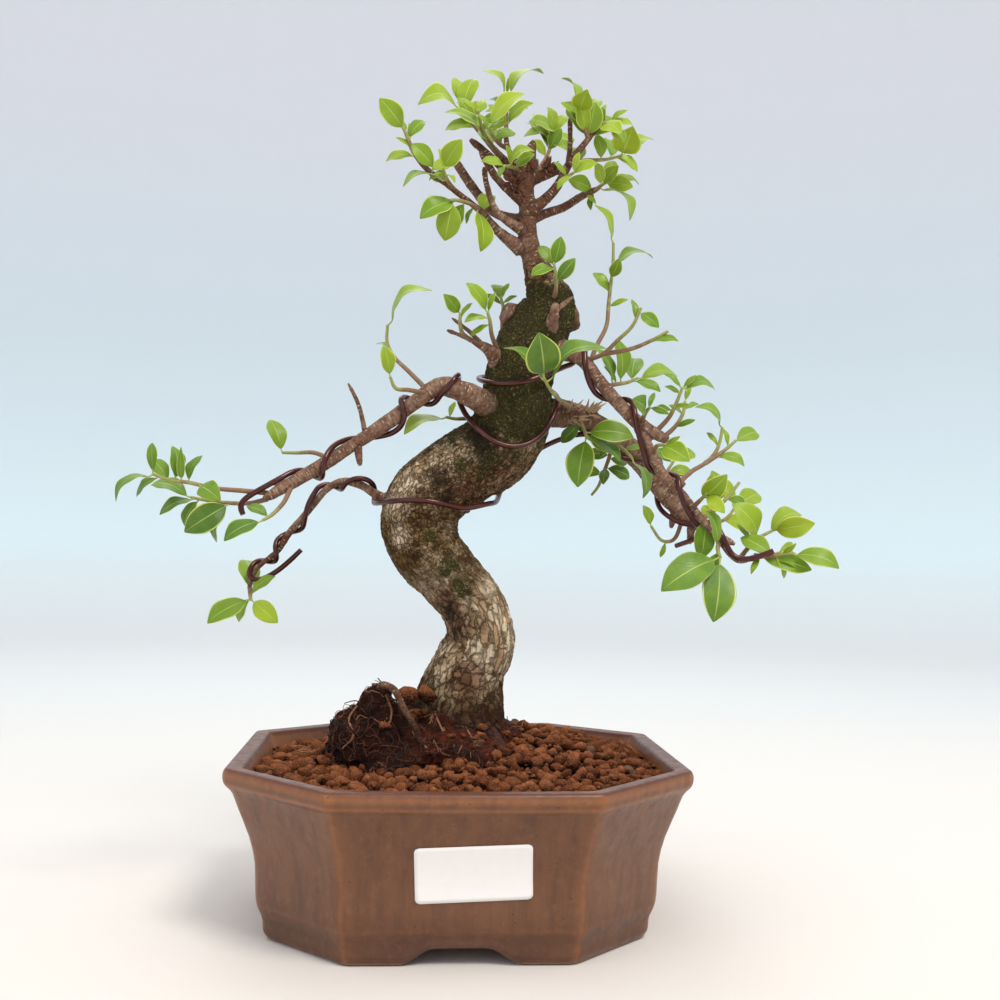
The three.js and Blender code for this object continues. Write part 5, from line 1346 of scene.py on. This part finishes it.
def nearest_wood(points, samples):
    """For each point, the sample whose bark lies nearest."""
    found = np.empty(len(points), int)
    for start in range(0, len(points), AT_ONE_TIME):
        block = points[start:start + AT_ONE_TIME]
        away = np.linalg.norm(block[:, None] - samples["place"][None], axis=2) - samples["radius"]
        found[start:start + AT_ONE_TIME] = away.argmin(axis=1)
    return found


def grain_of(points, samples, nearest):
    """Places that follow the wood: across it, deep in it and along it."""
    offset = points - samples["place"][nearest]
    across = np.einsum("ij,ij->i", offset, samples["across"][nearest])
    deep = np.einsum("ij,ij->i", offset, samples["deep"][nearest])
    along = np.einsum("ij,ij->i", offset, samples["tangent"][nearest]) + samples["along"][nearest]
    return np.stack([across, deep, along], axis=1)


def smooth_step(value, low, high):
    share = np.clip((value - low) / (high - low), 0, 1)
    return share * share * (3 - 2 * share)


def belt(height, heights):
    """1 between the two pairs of heights, fading to 0 outside them."""
    return smooth_step(height, *heights[0]) * (1 - smooth_step(height, *heights[1]))


# Patches of bark: middle x, y, z and radius. A swelling's height follows its radius
# Pale patches: partly pale bark and partly painted highlight, where light falls on the lower bend's right and
# the big bend's upper left.
PALE_AND_LIT_BARK = (
    (19, -12, 118, 14), (20, -10, 107, 14), (16, -13, 130, 11), (10, -14, 102, 13), (-24, -8, 173, 9),
    (15.5, -8, 284, 10), (17, -8, 270, 9),
    (-20, -9, 180, 6), (-27, -6, 165, 8), (-14, -11, 184, 4.5), (-7, -12, 98, 5), (-2, -13, 102, 5),
    (-26, -9, 150, 5),
)
MOSSY_BARK = (
    (-4, -14, 141, 7), (0, -14, 130, 7), (-7, -13, 136, 5), (-12, -13, 151, 6), (9, -14, 183, 10),
    (17, -12, 187, 8), (-1, -13, 179, 6),
)
# Near-black patches on the trunk's front, most on its left side: painted shade.
PAINTED_SHADE_BARK = ((-10, -14, 174, 7), (-7, -13, 166, 6), (-3, -14, 112, 5), (-6, -12, 120, 6), (6, -14, 191, 8))
RUSTY_BARK = (
    (4, -14, 168, 10), (14, -13, 177, 8), (-3, -13, 115, 8), (-6, -12, 125, 8), (27.7, -12, 201.7, 3),
    (2, -14, 158, 8), (3, -17, 94, 9),
)
SWELLINGS = ((-20.5, -6, 183, 3.2, 1.7), (-24, -8, 176, 3, 0.9), (9.5, -9, 154, 2.0, 1.6))


def patch_share(points, patches):
    """How strongly the patches, each a middle and a radius, cover each point."""
    share = np.zeros(len(points))
    for *middle, radius in patches:
        share = np.maximum(share, round_patch(points, middle, radius))
    return share


def bark_relief(grain, young):
    """How far each point stands out: ridges and crumbs on old bark, and rings on young wood."""
    rise = np.zeros(len(grain))
    for i, (across, deep, along) in enumerate(grain):
        ridges = 0.3 - abs(fractal(Vector((across, deep, along * 0.6)) / 3.2, 3))
        broad = fractal(Vector((across, deep, along * 0.6)) / 8, 3)
        crumbs = fractal(Vector((across, deep, along)) / 1.7, 3)
        old = 0.8 * ridges + 0.8 * broad + 0.34 * crumbs
        rings = 0.16 * max(math.sin(along * 0.75 + 2 * broad), 0) ** 4
        fresh = 0.30 * fractal(Vector((across, deep, along)) / 2.4, 3) + rings
        rise[i] = (1 - young[i]) * old + young[i] * fresh
    return rise


def put_bark_values(mesh, points, young, is_root):
    """Puts down where the bark is pale, partly as painted highlight, mossy, darkened with painted shade,
    rusty, young and damp.
    """
    height = points[:, 2]
    on_limb = (young > 0.4) & (height > LIMB_HEIGHTS[0]) & (height < LIMB_HEIGHTS[1])
    lit = np.array([0.4 * fractal(Vector(point) / 22, 2) for point in points]) + 0.18
    lit_belt = lit + 0.5 * on_limb + 0.3 * belt(height, CHALKY_HEIGHTS)
    damp = np.maximum(1 - smooth_step(height + 8 * lit, *DAMP_HEIGHTS), is_root * 0.3)
    # Pale bark and painted highlight both go into the pale value.
    put_values(mesh, "pale", np.maximum(lit_belt, patch_share(points, PALE_AND_LIT_BARK)))
    put_values(mesh, "moss", np.maximum(belt(height, MOSS_HEIGHTS), 0.75 * patch_share(points, MOSSY_BARK)))
    put_values(mesh, "painted_shade", patch_share(points, PAINTED_SHADE_BARK))
    put_values(mesh, "rust", patch_share(points, RUSTY_BARK))
    put_values(mesh, "young", young)
    put_values(mesh, "damp", damp * 0.85)


def dress_bark(mesh):
    """Raises swellings, scales and knobs on the wood, and puts down what the bark material reads."""
    samples = all_samples()
    points = millimetre_rows(mesh)
    nearest = nearest_wood(points, samples)
    grain = grain_of(points, samples, nearest)
    radius = samples["radius"][nearest]
    route = samples["route"][nearest]
    height = points[:, 2]
    is_root = route >= len(WOOD) - len(ROOTS)
    young = 1 - smooth_step(radius, *YOUNG_RADII)
    young = np.where((route == 0) & (height < SMOOTH_ABOVE), 0, np.maximum(young, 0))
    young = np.where(is_root, 0.9, young)
    rise = bark_relief(grain, young) * np.clip(radius / 6, 0.4, 1)
    for *middle, spread, high in SWELLINGS:
        rise += high * round_patch(points, middle, spread)
    move_points(mesh, vertex_rows(mesh, "co") + vertex_rows(mesh, "normal") * rise[:, None] * MM)
    put_bark_values(mesh, points, young, is_root)
    layer = mesh.attributes.new("grain", "FLOAT_VECTOR", "POINT")
    layer.data.foreach_set("vector", (grain * MM).astype(np.float32).ravel())


def faded(rows):
    """A route's thick stretch alone, drawn in where it thins to a twig."""
    rows = rows.copy()
    thin = rows[:, 3] < THIN_WOOD
    if not thin.any():
        return rows
    last = int(np.argmax(thin))
    if last < 3:
        return None
    rows = rows[:last + 1]
    rows[-2:, 3] *= 0.6
    return rows


def make_wood():
    """The trunk and thick branches as one skin, and the thin limbs as tubes that run on from it."""
    routes = [smooth_route(route, 6) for route in WOOD]
    thick = [rows for rows in map(faded, routes) if rows is not None]
    union = tubes("trunk_core", thick, 16)
    mesh = settled(
        union,
        ("REMESH", {"mode": "VOXEL", "voxel_size": BARK_SKIN["voxel"] * MM, "use_smooth_shade": True}),
        ("SMOOTH", {"factor": 0.5, "iterations": BARK_SKIN["smoothings"]}),
    )
    dress_bark(mesh)
    bark = bark_finish()
    piece("trunk_bark", mesh, ["trunk"], [bark])
    limbs = [with_inner_share(rows) for rows in routes if (rows[:, 3] < THIN_WOOD + THIN_OVERLAP).any()]
    thin = settled(tubes("thin_limbs", limbs, 10), ("SUBSURF", {"levels": 1, "render_levels": 1}))
    dress_bark(thin)
    piece("thin_limbs", thin, [], [bark])


def with_inner_share(rows):
    """The route with its thick stretch drawn in, so that it lies inside the trunk's skin."""
    rows = rows.copy()
    inner = rows[:, 3] > THIN_WOOD + THIN_OVERLAP
    rows[inner, 3] *= 0.7
    rows[-1, 3] *= 0.55
    return rows


# Dry scales: middle, spread, count, length, which way they lean, and whether they are pale
SCALES = (
    ((19, -3, 299), 4.0, 40, 2.8, (-0.2, -0.4, 0.3), False),
    ((25.5, -4, 305), 2.6, 22, 2.4, (0, -0.4, 0.6), False),
    ((34, -2, 305.5), 3.2, 30, 3.2, (0.6, -0.2, 0.4), False),
    ((22, -4, 292), 2.8, 18, 2.2, (0, -0.5, 0), False),
    ((46, 6, 203), 4.2, 26, 4.6, (0.7, -0.2, 0.4), True),
    ((54, 8, 205), 3.0, 18, 5.2, (0.8, -0.1, 0.6), True),
)


def scale_route(draw, cluster):
    """One dry scale: a short pointed flake that leans out of its cluster."""
    middle, spread, _, length, lean, _ = cluster
    out = any_way(draw).normalized()
    start = Vector(middle) + out * spread * draw.uniform(0.3, 0.9)
    way = (out * 0.8 + Vector(lean)).normalized() * length * draw.uniform(0.6, 1.2)
    return [(*start, 0.75), (*(start + way * 0.55), 0.5), (*(start + way), 0.12)]


def make_scales():
    """Dry bud scales and splinters round the crown's knobs and on the right limb's papery stub."""
    colours = {
        False: ((0.070, 0.018, 0.009), (0.24, 0.085, 0.045)),
        True: ((0.26, 0.150, 0.080), (0.58, 0.40, 0.25)),
    }
    for is_pale, (dark, light) in colours.items():
        draw = random.Random(31)
        routes = [scale_route(draw, cluster) for cluster in SCALES if cluster[5] == is_pale
                  for _ in range(cluster[2])]
        name = "papery_scales" if is_pale else "bud_scales"
        piece(name, tubes(name, routes, 6), [], [root_finish(name, dark, light)])


# Leafy stems


def leaf_template():
    """A flat slab of unit width and length with a UV across and along it."""
    bm = bmesh.new()
    bmesh.ops.create_grid(bm, x_segments=4, y_segments=10, size=0.5)
    uv = bm.loops.layers.uv.new("blade")
    for face in bm.faces:
        for loop in face.loops:
            loop[uv].uv = (loop.vert.co.x + 0.5, loop.vert.co.y + 0.5)
    grown = bmesh.ops.extrude_face_region(bm, geom=bm.faces[:])["geom"]
    lifted = [item for item in grown if isinstance(item, bmesh.types.BMVert)]
    bmesh.ops.translate(bm, verts=lifted, vec=(0, 0, 1))
    return mesh_of(bm, "leaf_slab")


LEAF_SLAB = leaf_template()
# A blade's greatest width and its stalk are shares of its length, and shorter leaves are slim buds
LEAF = {
    "width": 0.525, "thickness": 0.42, "stalk": 0.1, "bud_length": 10, "bud_width": 0.6, "turn_share": 0.85,
}
CROWN_FULLNESS = 1.12
BLADE_PLACES = (0, 0.05, 0.14, 0.27, 0.42, 0.55, 0.7, 0.82, 0.91, 0.97, 1)
BLADE_WIDTHS = (0, 0.30, 0.58, 0.84, 0.98, 1, 0.88, 0.66, 0.40, 0.17, 0)


# How old the leaves look, by the start of their stem's name. 0 is yellow-green and 1 is dark.
STEM_AGES = (
    ("crown_right", 0.22), ("crown_back", 0.22), ("crown", 0.3), ("upper_trunk", 0.68), ("front_sprig", 0.72),
    ("middle", 0.4), ("left_end_upper", 0.72), ("left_end", 0.8), ("left_low", 0.3), ("left_high", 0.42),
    ("right_high_tall", 0.5), ("right_high", 0.45), ("right_fan", 0.5), ("right_crook", 0.6),
    ("right_inner", 0.72), ("right_back", 0.45), ("right_hanging", 0.66), ("right_end_tip", 0.3),
    ("right_end", 0.2), ("right", 0.35),
)
# Leaves broader or slimmer than the rest of their stem, by the stem and their place on its twig
LEAF_FULLNESS = {
    ("front_sprig", 0): 1.2, ("crown_back_left", 0): 1.3, ("crown_right_fan", 0): 1.35,
    ("crown_right_top", 4): 1.25, ("crown_right_top", 7): 1.2, ("right_end_upper", 0): 1.15,
    ("right_end_tip", 7): 0.8, ("left_end_upper", 2): 0.8,
}

# Leaves that fill out the stems: place on the first twig in percent, run x, y, z, turn and bow
FILLING_LEAVES = {
    "crown_left_end": [[60, 10, 3, -9, 15, 8]],
    "crown_left_fork": [[30, 9, 5, 5, 30, 6]],
    "crown_left_middle": [[30, -8, 6, 6, 20, 8]],
    "crown_left_low": [[10, 4, 8, 10, 20, 8], [60, -4, 6, -9, 25, 8]],
    "crown_back_left": [[95, 5, -5, -11, 20, 8], [55, 8, 4, 9, 25, 10], [15, 9, 3, 6, 35, 10]],
    "crown_top_left": [[30, -6, 4, 9, 25, 8]],
    "crown_top": [[25, 11, -6, 8, 50, 14], [20, -8, -4, 8, 30, 8], [75, -7, 5, 4, 30, 8]],
    "crown_top_front": [[60, 8, 6, 6, 30, 10], [30, -7, 3, 8, 25, 8]],
    "crown_knob_front": [[30, 3, 2, 9, 20, 8], [50, 8, -4, 5, 35, 8], [60, -3, -4, 8, 25, 6]],
    "crown_back_right": [
        [95, -12, -14, 1, 40, 16], [85, 6, -8, -7, 20, 12], [60, 5, -4, 9, 20, 8], [45, -7, -4, 6, 30, 8],
    ],
    "crown_right_top": [
        [5, 2, -6, 13, 5, 6], [20, -5, -8, 10, 15, 6], [5, -9, 2, 13, 25, 10], [5, 13, 4, 9, 25, 12],
    ],
    "crown_right_end": [[70, 8, -2, -9, 50, 14], [20, -3, 4, 9, 20, 8]],
    "crown_right_fan": [[20, -2, 10, 9, 10, 6], [45, 4, 6, -8, 20, 8]],
    "crown_right_low": [[10, 4, -4, -5, 20, 8], [70, 6, -6, 7, 15, 8]],
    "crown_right_front": [[60, -6, -3, 5, 25, 8]],
    "right_inner_large": [[90, 10, -3, -8, 30, 8], [60, -8, 4, -8, 20, 8]],
    "right_inner_dark": [[55, -2, -6, -8, 20, 8], [20, 12, -2, 3, 15, 8], [40, 9, 4, -2, 10, 8]],
    "right_back_upper": [[60, 12, 2, 1, 30, 10]],
    "right_crossing": [[10, -2, 0, -17, 0, 8]],
    "right_end_tip": [[50, -11, 8, 7, 25, 8], [60, 7, 4, 5, 20, 8], [10, 20, -4, -5, 20, 6]],
}


def leaf_axes(leaf):
    """Along, side and normal of a leaf, and its length in millimetres."""
    along = Vector(leaf[1:4])
    length = along.length
    along.normalize()
    facing = (VIEWER - along * VIEWER.dot(along)).normalized()
    rising = UP - along * UP.dot(along)
    rising = (rising - facing * rising.dot(facing)).normalized()
    turn = math.radians(leaf[4]) * LEAF["turn_share"]
    normal = facing * math.cos(turn) + rising * math.sin(turn)
    return along, along.cross(normal), normal, length


def leaf_point(leaf, axes, foot, across, place, through, draw_values):
    """A point of the blade: across from -1 to 1, place from 0 to 1, through from -1 to 1."""
    along, side, normal, length = axes
    wave, curl, fullness = draw_values
    if length < LEAF["bud_length"]:
        fullness *= LEAF["bud_width"]
    half = fullness * LEAF["width"] * length / 2
    outline = np.interp(place, BLADE_PLACES, BLADE_WIDTHS)
    width = max(half * outline, 0.18)
    thickness = LEAF["thickness"] * (0.35 + 0.65 * (1 - abs(across) ** 3))
    ripple = 0.035 * length * math.sin(place * 9 + wave) * abs(across) ** 2 * outline
    bow = leaf[5] / 100 * length * 4 * place * (1 - place)
    droop = -curl * length * max(place - 0.8, 0) ** 2 * 4
    lift = bow + 0.2 * width * abs(across) + ripple + droop + through * thickness / 2
    run = (place + LEAF["stalk"] * (1 - place)) * length * 0.99
    return foot + along * run + side * across * width + normal * lift


def add_leaf(bm, layers, foot, leaf, look, draw):
    """Stamps one leaf whose look is its stem's age and the leaf's own fullness."""
    age_layer, under_layer = layers
    age, fullness = look
    axes = leaf_axes(leaf)
    values = (draw.uniform(0, 6.3), draw.uniform(0, 0.25), fullness * draw.uniform(0.94, 1.06))
    age = leaf_age(leaf, age, draw)
    start = len(bm.verts)
    bm.from_mesh(LEAF_SLAB)
    bm.verts.ensure_lookup_table()
    for vert in bm.verts[start:]:
        across, place, through = 2 * vert.co.x, vert.co.y + 0.5, 2 * vert.co.z - 1
        vert.co = spot(*leaf_point(leaf, axes, foot, across, place, through, values))
        vert[age_layer] = age
        vert[under_layer] = 0.0 if through > 0 else 1.0


def leaf_age(leaf, age, draw):
    """0 for a young yellow-green leaf, 1 for an old dark one. Leaves near a tip are younger."""
    return min(max(age - 0.2 * (leaf[0] / 100 - 0.6) + draw.gauss(0, 0.12), 0), 1)


def stalk_route(leaf, foot):
    """The leaf's stalk, from the twig to a little way under the blade."""
    axes = leaf_axes(leaf)
    rows = []
    for place, radius in ((0, 0.5), (0.05, 0.42), (0.12, 0.36), (0.25, 0.2)):
        share = max(place - LEAF["stalk"], 0) / (1 - LEAF["stalk"])
        bow = leaf[5] / 100 * axes[3] * 4 * share * (1 - share)
        at = foot + axes[0] * place * axes[3] + axes[2] * (bow - (0.12 if place > 0.1 else 0))
        rows.append((*at, radius))
    return smooth_route(rows, 2)


def make_stem(stem, finishes):
    """One leafy stem: its twigs, stalks and leaves as one piece that stands for its node."""
    name, *branches = stem
    draw = random.Random(name)
    leaf_bm = bmesh.new()
    layers = (leaf_bm.verts.layers.float.new("age"), leaf_bm.verts.layers.float.new("under"))
    age = next((age for start, age in STEM_AGES if name.startswith(start)), 0.5)
    fuller = CROWN_FULLNESS if name.startswith("crown") else 1.0
    twigs, stalks = [], []
    branches[1] = branches[1] + FILLING_LEAVES.get(name, [])
    for points, leaves in zip(branches[::2], branches[1::2]):
        last = len(points) - 1
        thick, thin = TWIG_RADIUS["foot"], TWIG_RADIUS["tip"]
        tapered = [(*point, thick + (thin - thick) * i / last) for i, point in enumerate(points)]
        rows = smooth_route(tapered, 5)
        twigs.append(rows)
        for i, leaf in enumerate(leaves):
            foot = place_on(smooth_route(points, 10), leaf[0] / 100)
            add_leaf(leaf_bm, layers, foot, leaf, (age, LEAF_FULLNESS.get((name, i), fuller)), draw)
            stalks.append(stalk_route(leaf, foot))
    blades = mesh_of(leaf_bm, "blades")
    twig_mesh = tubes("twigs", twigs, 8)
    tip_values(twig_mesh, twigs)
    parts = (blades, twig_mesh, tubes("stalks", stalks, 6))
    mesh = merged(name, parts)
    made = piece(f"{name}_leaves", mesh, [name], finishes)
    soften = made.modifiers.new("soften", "SUBSURF")
    soften.levels = 1
    soften.render_levels = 1


def tip_values(mesh, routes):
    """How near its tip each point of the twigs lies, from 0 to 1."""
    samples = np.concatenate([rows[:, :3] for rows in routes])
    shares = np.concatenate([np.linspace(0, 1, len(rows)) for rows in routes])
    points = millimetre_rows(mesh)
    away = np.linalg.norm(points[:, None] - samples[None], axis=2)
    put_values(mesh, "tip", shares[away.argmin(axis=1)])


def merged(name, meshes):
    """The meshes as one, each in the material slot of its place in the list."""
    bm = bmesh.new()
    for index, mesh in enumerate(meshes):
        start = len(bm.faces)
        bm.from_mesh(mesh)
        bm.faces.ensure_lookup_table()
        for face in bm.faces[start:]:
            face.material_index = index
    return mesh_from(bm, name)


# Wire

WIRE_CLEAR = {"bark": 1.14, "gap": 0.25, "eased_bark": 1.07}
EASINGS = 14
SPAN_STEPS = 24


def wound(points, stations, per_turn=22):
    """Points round a route's wood, by stations of place on the route and degrees round it."""
    rows = smooth_route(points, SPAN_STEPS)
    tangents = np.gradient(rows[:, :3], axis=0)
    flat = smooth_route([(at, turn / 100, 0) for at, turn in stations], 8)
    eased = [(row[0], 100 * row[1]) for row in flat]
    made = []
    for (start, first), (end, last) in zip(eased, eased[1:]):
        steps = max(int(abs(last - first) / 360 * per_turn), int(4 * abs(end - start)), 1)
        for k in range(steps):
            share = k / steps
            at = (start + (end - start) * share) * SPAN_STEPS
            low = min(int(at), len(rows) - 2)
            row = rows[low] + (rows[low + 1] - rows[low]) * (at - low)
            tangent = Vector(tangents[low]).normalized()
            angle = math.radians(first + (last - first) * share)
            front = (VIEWER - tangent * VIEWER.dot(tangent)).normalized()
            side = tangent.cross(front)
            reach = row[3] * WIRE_CLEAR["bark"] + WIRE_RADIUS + WIRE_CLEAR["gap"]
            made.append(Vector(row[:3]) + (front * math.cos(angle) + side * math.sin(angle)) * reach)
    return made


def hugging(path):
    """The path with its kinks eased out, kept clear of the wood that it goes round."""
    samples = all_samples()
    points = np.array([tuple(point) for point in path])
    for _ in range(EASINGS):
        points[1:-1] = 0.5 * points[1:-1] + 0.25 * (points[:-2] + points[2:])
        nearest = nearest_wood(points, samples)
        offset = points - samples["place"][nearest]
        away = np.linalg.norm(offset, axis=1)
        clear = samples["radius"][nearest] * WIRE_CLEAR["eased_bark"] + WIRE_RADIUS
        pushed = samples["place"][nearest] + offset * (clear / away)[:, None]
        points = np.where((away < clear)[:, None], pushed, points)
    return points


def make_wire(name, wire, left, right):
    """One training wire, wound up a left limb, the trunk and a right limb."""
    path = [
        *wire["left_end"],
        *wound(left, wire["left"]),
        *wound(TRUNK, wire["trunk"], 40),
        *wound(right, wire["right"]),
        *wire["right_end"],
    ]
    rows = [(*point, WIRE_RADIUS) for point in hugging(path)]
    rows[0] = (*path[0], WIRE_RADIUS * 0.9)
    rows[-1] = (*path[-1], WIRE_RADIUS * 0.9)
    route = smooth_route(rows, 3)
    piece(f"{name}_coil", tubes(name, [route], 10), [name], [wire_finish()])


# Label and screens


LABEL_OFF_WALL = 0.35


def wall_at(height):
    """How far the pot's front wall stands from its axis at a height."""
    heights = [row[1] for row in OUTER_WALL]
    return float(np.interp(height, heights, [row[0] for row in OUTER_WALL]))


def make_label():
    """A blank sticker with rounded corners, bent to the front wall."""
    bm = bmesh.new()
    bmesh.ops.create_grid(bm, x_segments=24, y_segments=14, size=0.5)
    half = Vector((LABEL["width"] / 2, LABEL["height"] / 2))
    tilt = math.radians(LABEL["tilt"])
    for vert in bm.verts:
        x, z = vert.co.x * 2 * half.x, vert.co.y * 2 * half.y
        x, z = round_corner(x, z, half)
        x, z = x * math.cos(tilt) - z * math.sin(tilt), x * math.sin(tilt) + z * math.cos(tilt)
        x, z = x + LABEL["x"], z + LABEL["z"]
        vert.co = spot(x, -wall_at(z) - LABEL_OFF_WALL, z)
    mesh = mesh_of(bm, "blank_label")
    label = piece("blank_label", mesh, ["label"], [label_finish()])
    solid = label.modifiers.new("paper", "SOLIDIFY")
    solid.thickness = LABEL["thickness"] * MM
    solid.offset = 0


def round_corner(x, z, half):
    """Draws a point of a rectangle in where it lies past the corner's arc."""
    corner = LABEL["corner"]
    over = Vector((max(abs(x) - (half.x - corner), 0), max(abs(z) - (half.y - corner), 0)))
    if over.length <= corner or min(over) == 0:
        return x, z
    pull = over * (corner / over.length)
    return math.copysign(half.x - corner + pull.x, x), math.copysign(half.y - corner + pull.y, z)


SCREEN = {"side": 26, "bars": 15, "bar": 0.55, "height": 0.3, "apart": 0.25}


def make_screen(node):
    """A woven plastic mesh over a drain hole."""
    bm = bmesh.new()
    low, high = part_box(node)
    middle = (low + high) / 2
    for i in range(SCREEN["bars"]):
        offset = (i / (SCREEN["bars"] - 1) - 0.5) * (SCREEN["side"] - SCREEN["bar"]) * MM
        for long_way in (0, 1):
            bar = bmesh.ops.create_cube(bm, size=1)["verts"]
            size = [SCREEN["bar"] * MM, SCREEN["bar"] * MM, SCREEN["height"] * MM]
            size[long_way] = SCREEN["side"] * MM
            shift = Vector((0, 0, (long_way - 0.5) * SCREEN["apart"] * MM))
            shift[1 - long_way] = offset
            bmesh.ops.scale(bm, vec=size, verts=bar)
            bmesh.ops.translate(bm, vec=middle + shift, verts=bar)
    mesh = mesh_of(bm, f"{node}_weave", smooth=False)
    piece(f"{node}_weave", mesh, [node], [mesh_finish()])


# Camera, floor and light

CAMERA_AT = Vector((-0.0246, -0.5024, 0.1440))
CAMERA_ALONG = Vector((0.0728, 0.9964, 0.0440))
CAMERA_LENS = 43.81
CAMERA_ROLL = 0.0188
SENSOR_WIDTH = 36
LIT_HEIGHT = 150


def make_camera():
    data = bpy.data.cameras.new("camera")
    data.lens = CAMERA_LENS
    data.sensor_width = SENSOR_WIDTH
    data.clip_start = 0.01
    camera = shown("camera", data)
    camera.location = CAMERA_AT
    level = CAMERA_ALONG.to_track_quat("-Z", "Y")
    camera.rotation_mode = "QUATERNION"
    camera.rotation_quaternion = level @ Matrix.Rotation(CAMERA_ROLL, 3, "Z").to_quaternion()
    bpy.context.scene.camera = camera
    bpy.context.scene.view_settings.view_transform = "Standard"


STUDIO = {"floor": 1.5, "wall": 2.3, "height": 2.4, "under_pot": 0.0003}


def make_floor():
    """A pale studio bowl: a floor that curves up all round into a pale wall."""
    bm = bmesh.new()
    rim, wall, height = STUDIO["floor"], STUDIO["wall"], STUDIO["height"]
    profile = [(0, 0), (0.7 * rim, 0)]
    for step in range(13):
        angle = math.radians(90 * step / 12)
        profile.append((rim + (wall - rim) * math.sin(angle), (wall - rim) * (1 - math.cos(angle))))
    profile.append((wall, height))
    ground = POT_LOW.z - STUDIO["under_pot"]
    line = [bm.verts.new((distance, 0, ground + up)) for distance, up in profile]
    for before, after in zip(line, line[1:]):
        bm.edges.new((before, after))
    bmesh.ops.spin(bm, geom=bm.verts[:] + bm.edges[:], cent=(0, 0, 0), axis=(0, 0, 1),
                   angle=2 * math.pi, steps=96, use_merge=True)
    bmesh.ops.remove_doubles(bm, verts=bm.verts[:], dist=0.0001)
    bmesh.ops.recalc_face_normals(bm, faces=bm.faces[:])
    if min(bm.faces, key=lambda face: face.calc_center_median().length).normal.z < 0:
        bmesh.ops.reverse_faces(bm, faces=bm.faces[:])
    for face in bm.faces:
        face.smooth = True
    mesh = mesh_from(bm, "studio")
    mesh.materials.append(studio_finish())
    studio = shown("studio", mesh)


def add_light(name, place, target, size, power, colour):
    data = bpy.data.lights.new(name, "AREA")
    data.shape = "DISK"
    data.size = size
    data.energy = power
    data.color = colour
    light = shown(name, data)
    light.location = place
    light.rotation_mode = "QUATERNION"
    light.rotation_quaternion = (target - place).to_track_quat("-Z", "Y")


def make_sky():
    """An even pale light from above the studio's wall."""
    world = bpy.data.worlds.new("sky")
    bpy.context.scene.world = world
    world.use_nodes = True
    background = world.node_tree.nodes["Background"]
    background.inputs["Color"].default_value = (1.0, 0.965, 0.925, 1)
    background.inputs["Strength"].default_value = 1.0


def make_stage():
    make_camera()
    make_floor()
    make_sky()
    middle = spot(0, 0, LIT_HEIGHT)
    add_light("key", Vector((0.5, -0.9, 1.5)), middle, 0.6, 16.5, (1.0, 0.95, 0.88))
    add_light("fill", Vector((-1.1, -0.8, 0.8)), middle, 1.0, 2.5, (0.98, 0.98, 1.0))
    add_light("back", Vector((-0.2, 1.0, 1.4)), middle, 0.9, 4, (1.0, 0.98, 0.95))


make_stage()
make_pot()
make_soil()
mound_tree = make_mound()
make_granules(mound_tree)
make_threads(mound_tree)
make_wood()
make_scales()
FINISHES = [leaf_finish(), twig_finish(), stalk_finish()]
for leafy_stem in LEAFY_STEMS:
    make_stem(leafy_stem, FINISHES)
make_wire("wire_upper", UPPER_WIRE, LEFT_HIGH, RIGHT_GUIDE)
make_wire("wire_lower", LOWER_WIRE, LEFT_LOW, RIGHT_BACK)
make_label()
make_screen("drain_screen_left")
make_screen("drain_screen_right")
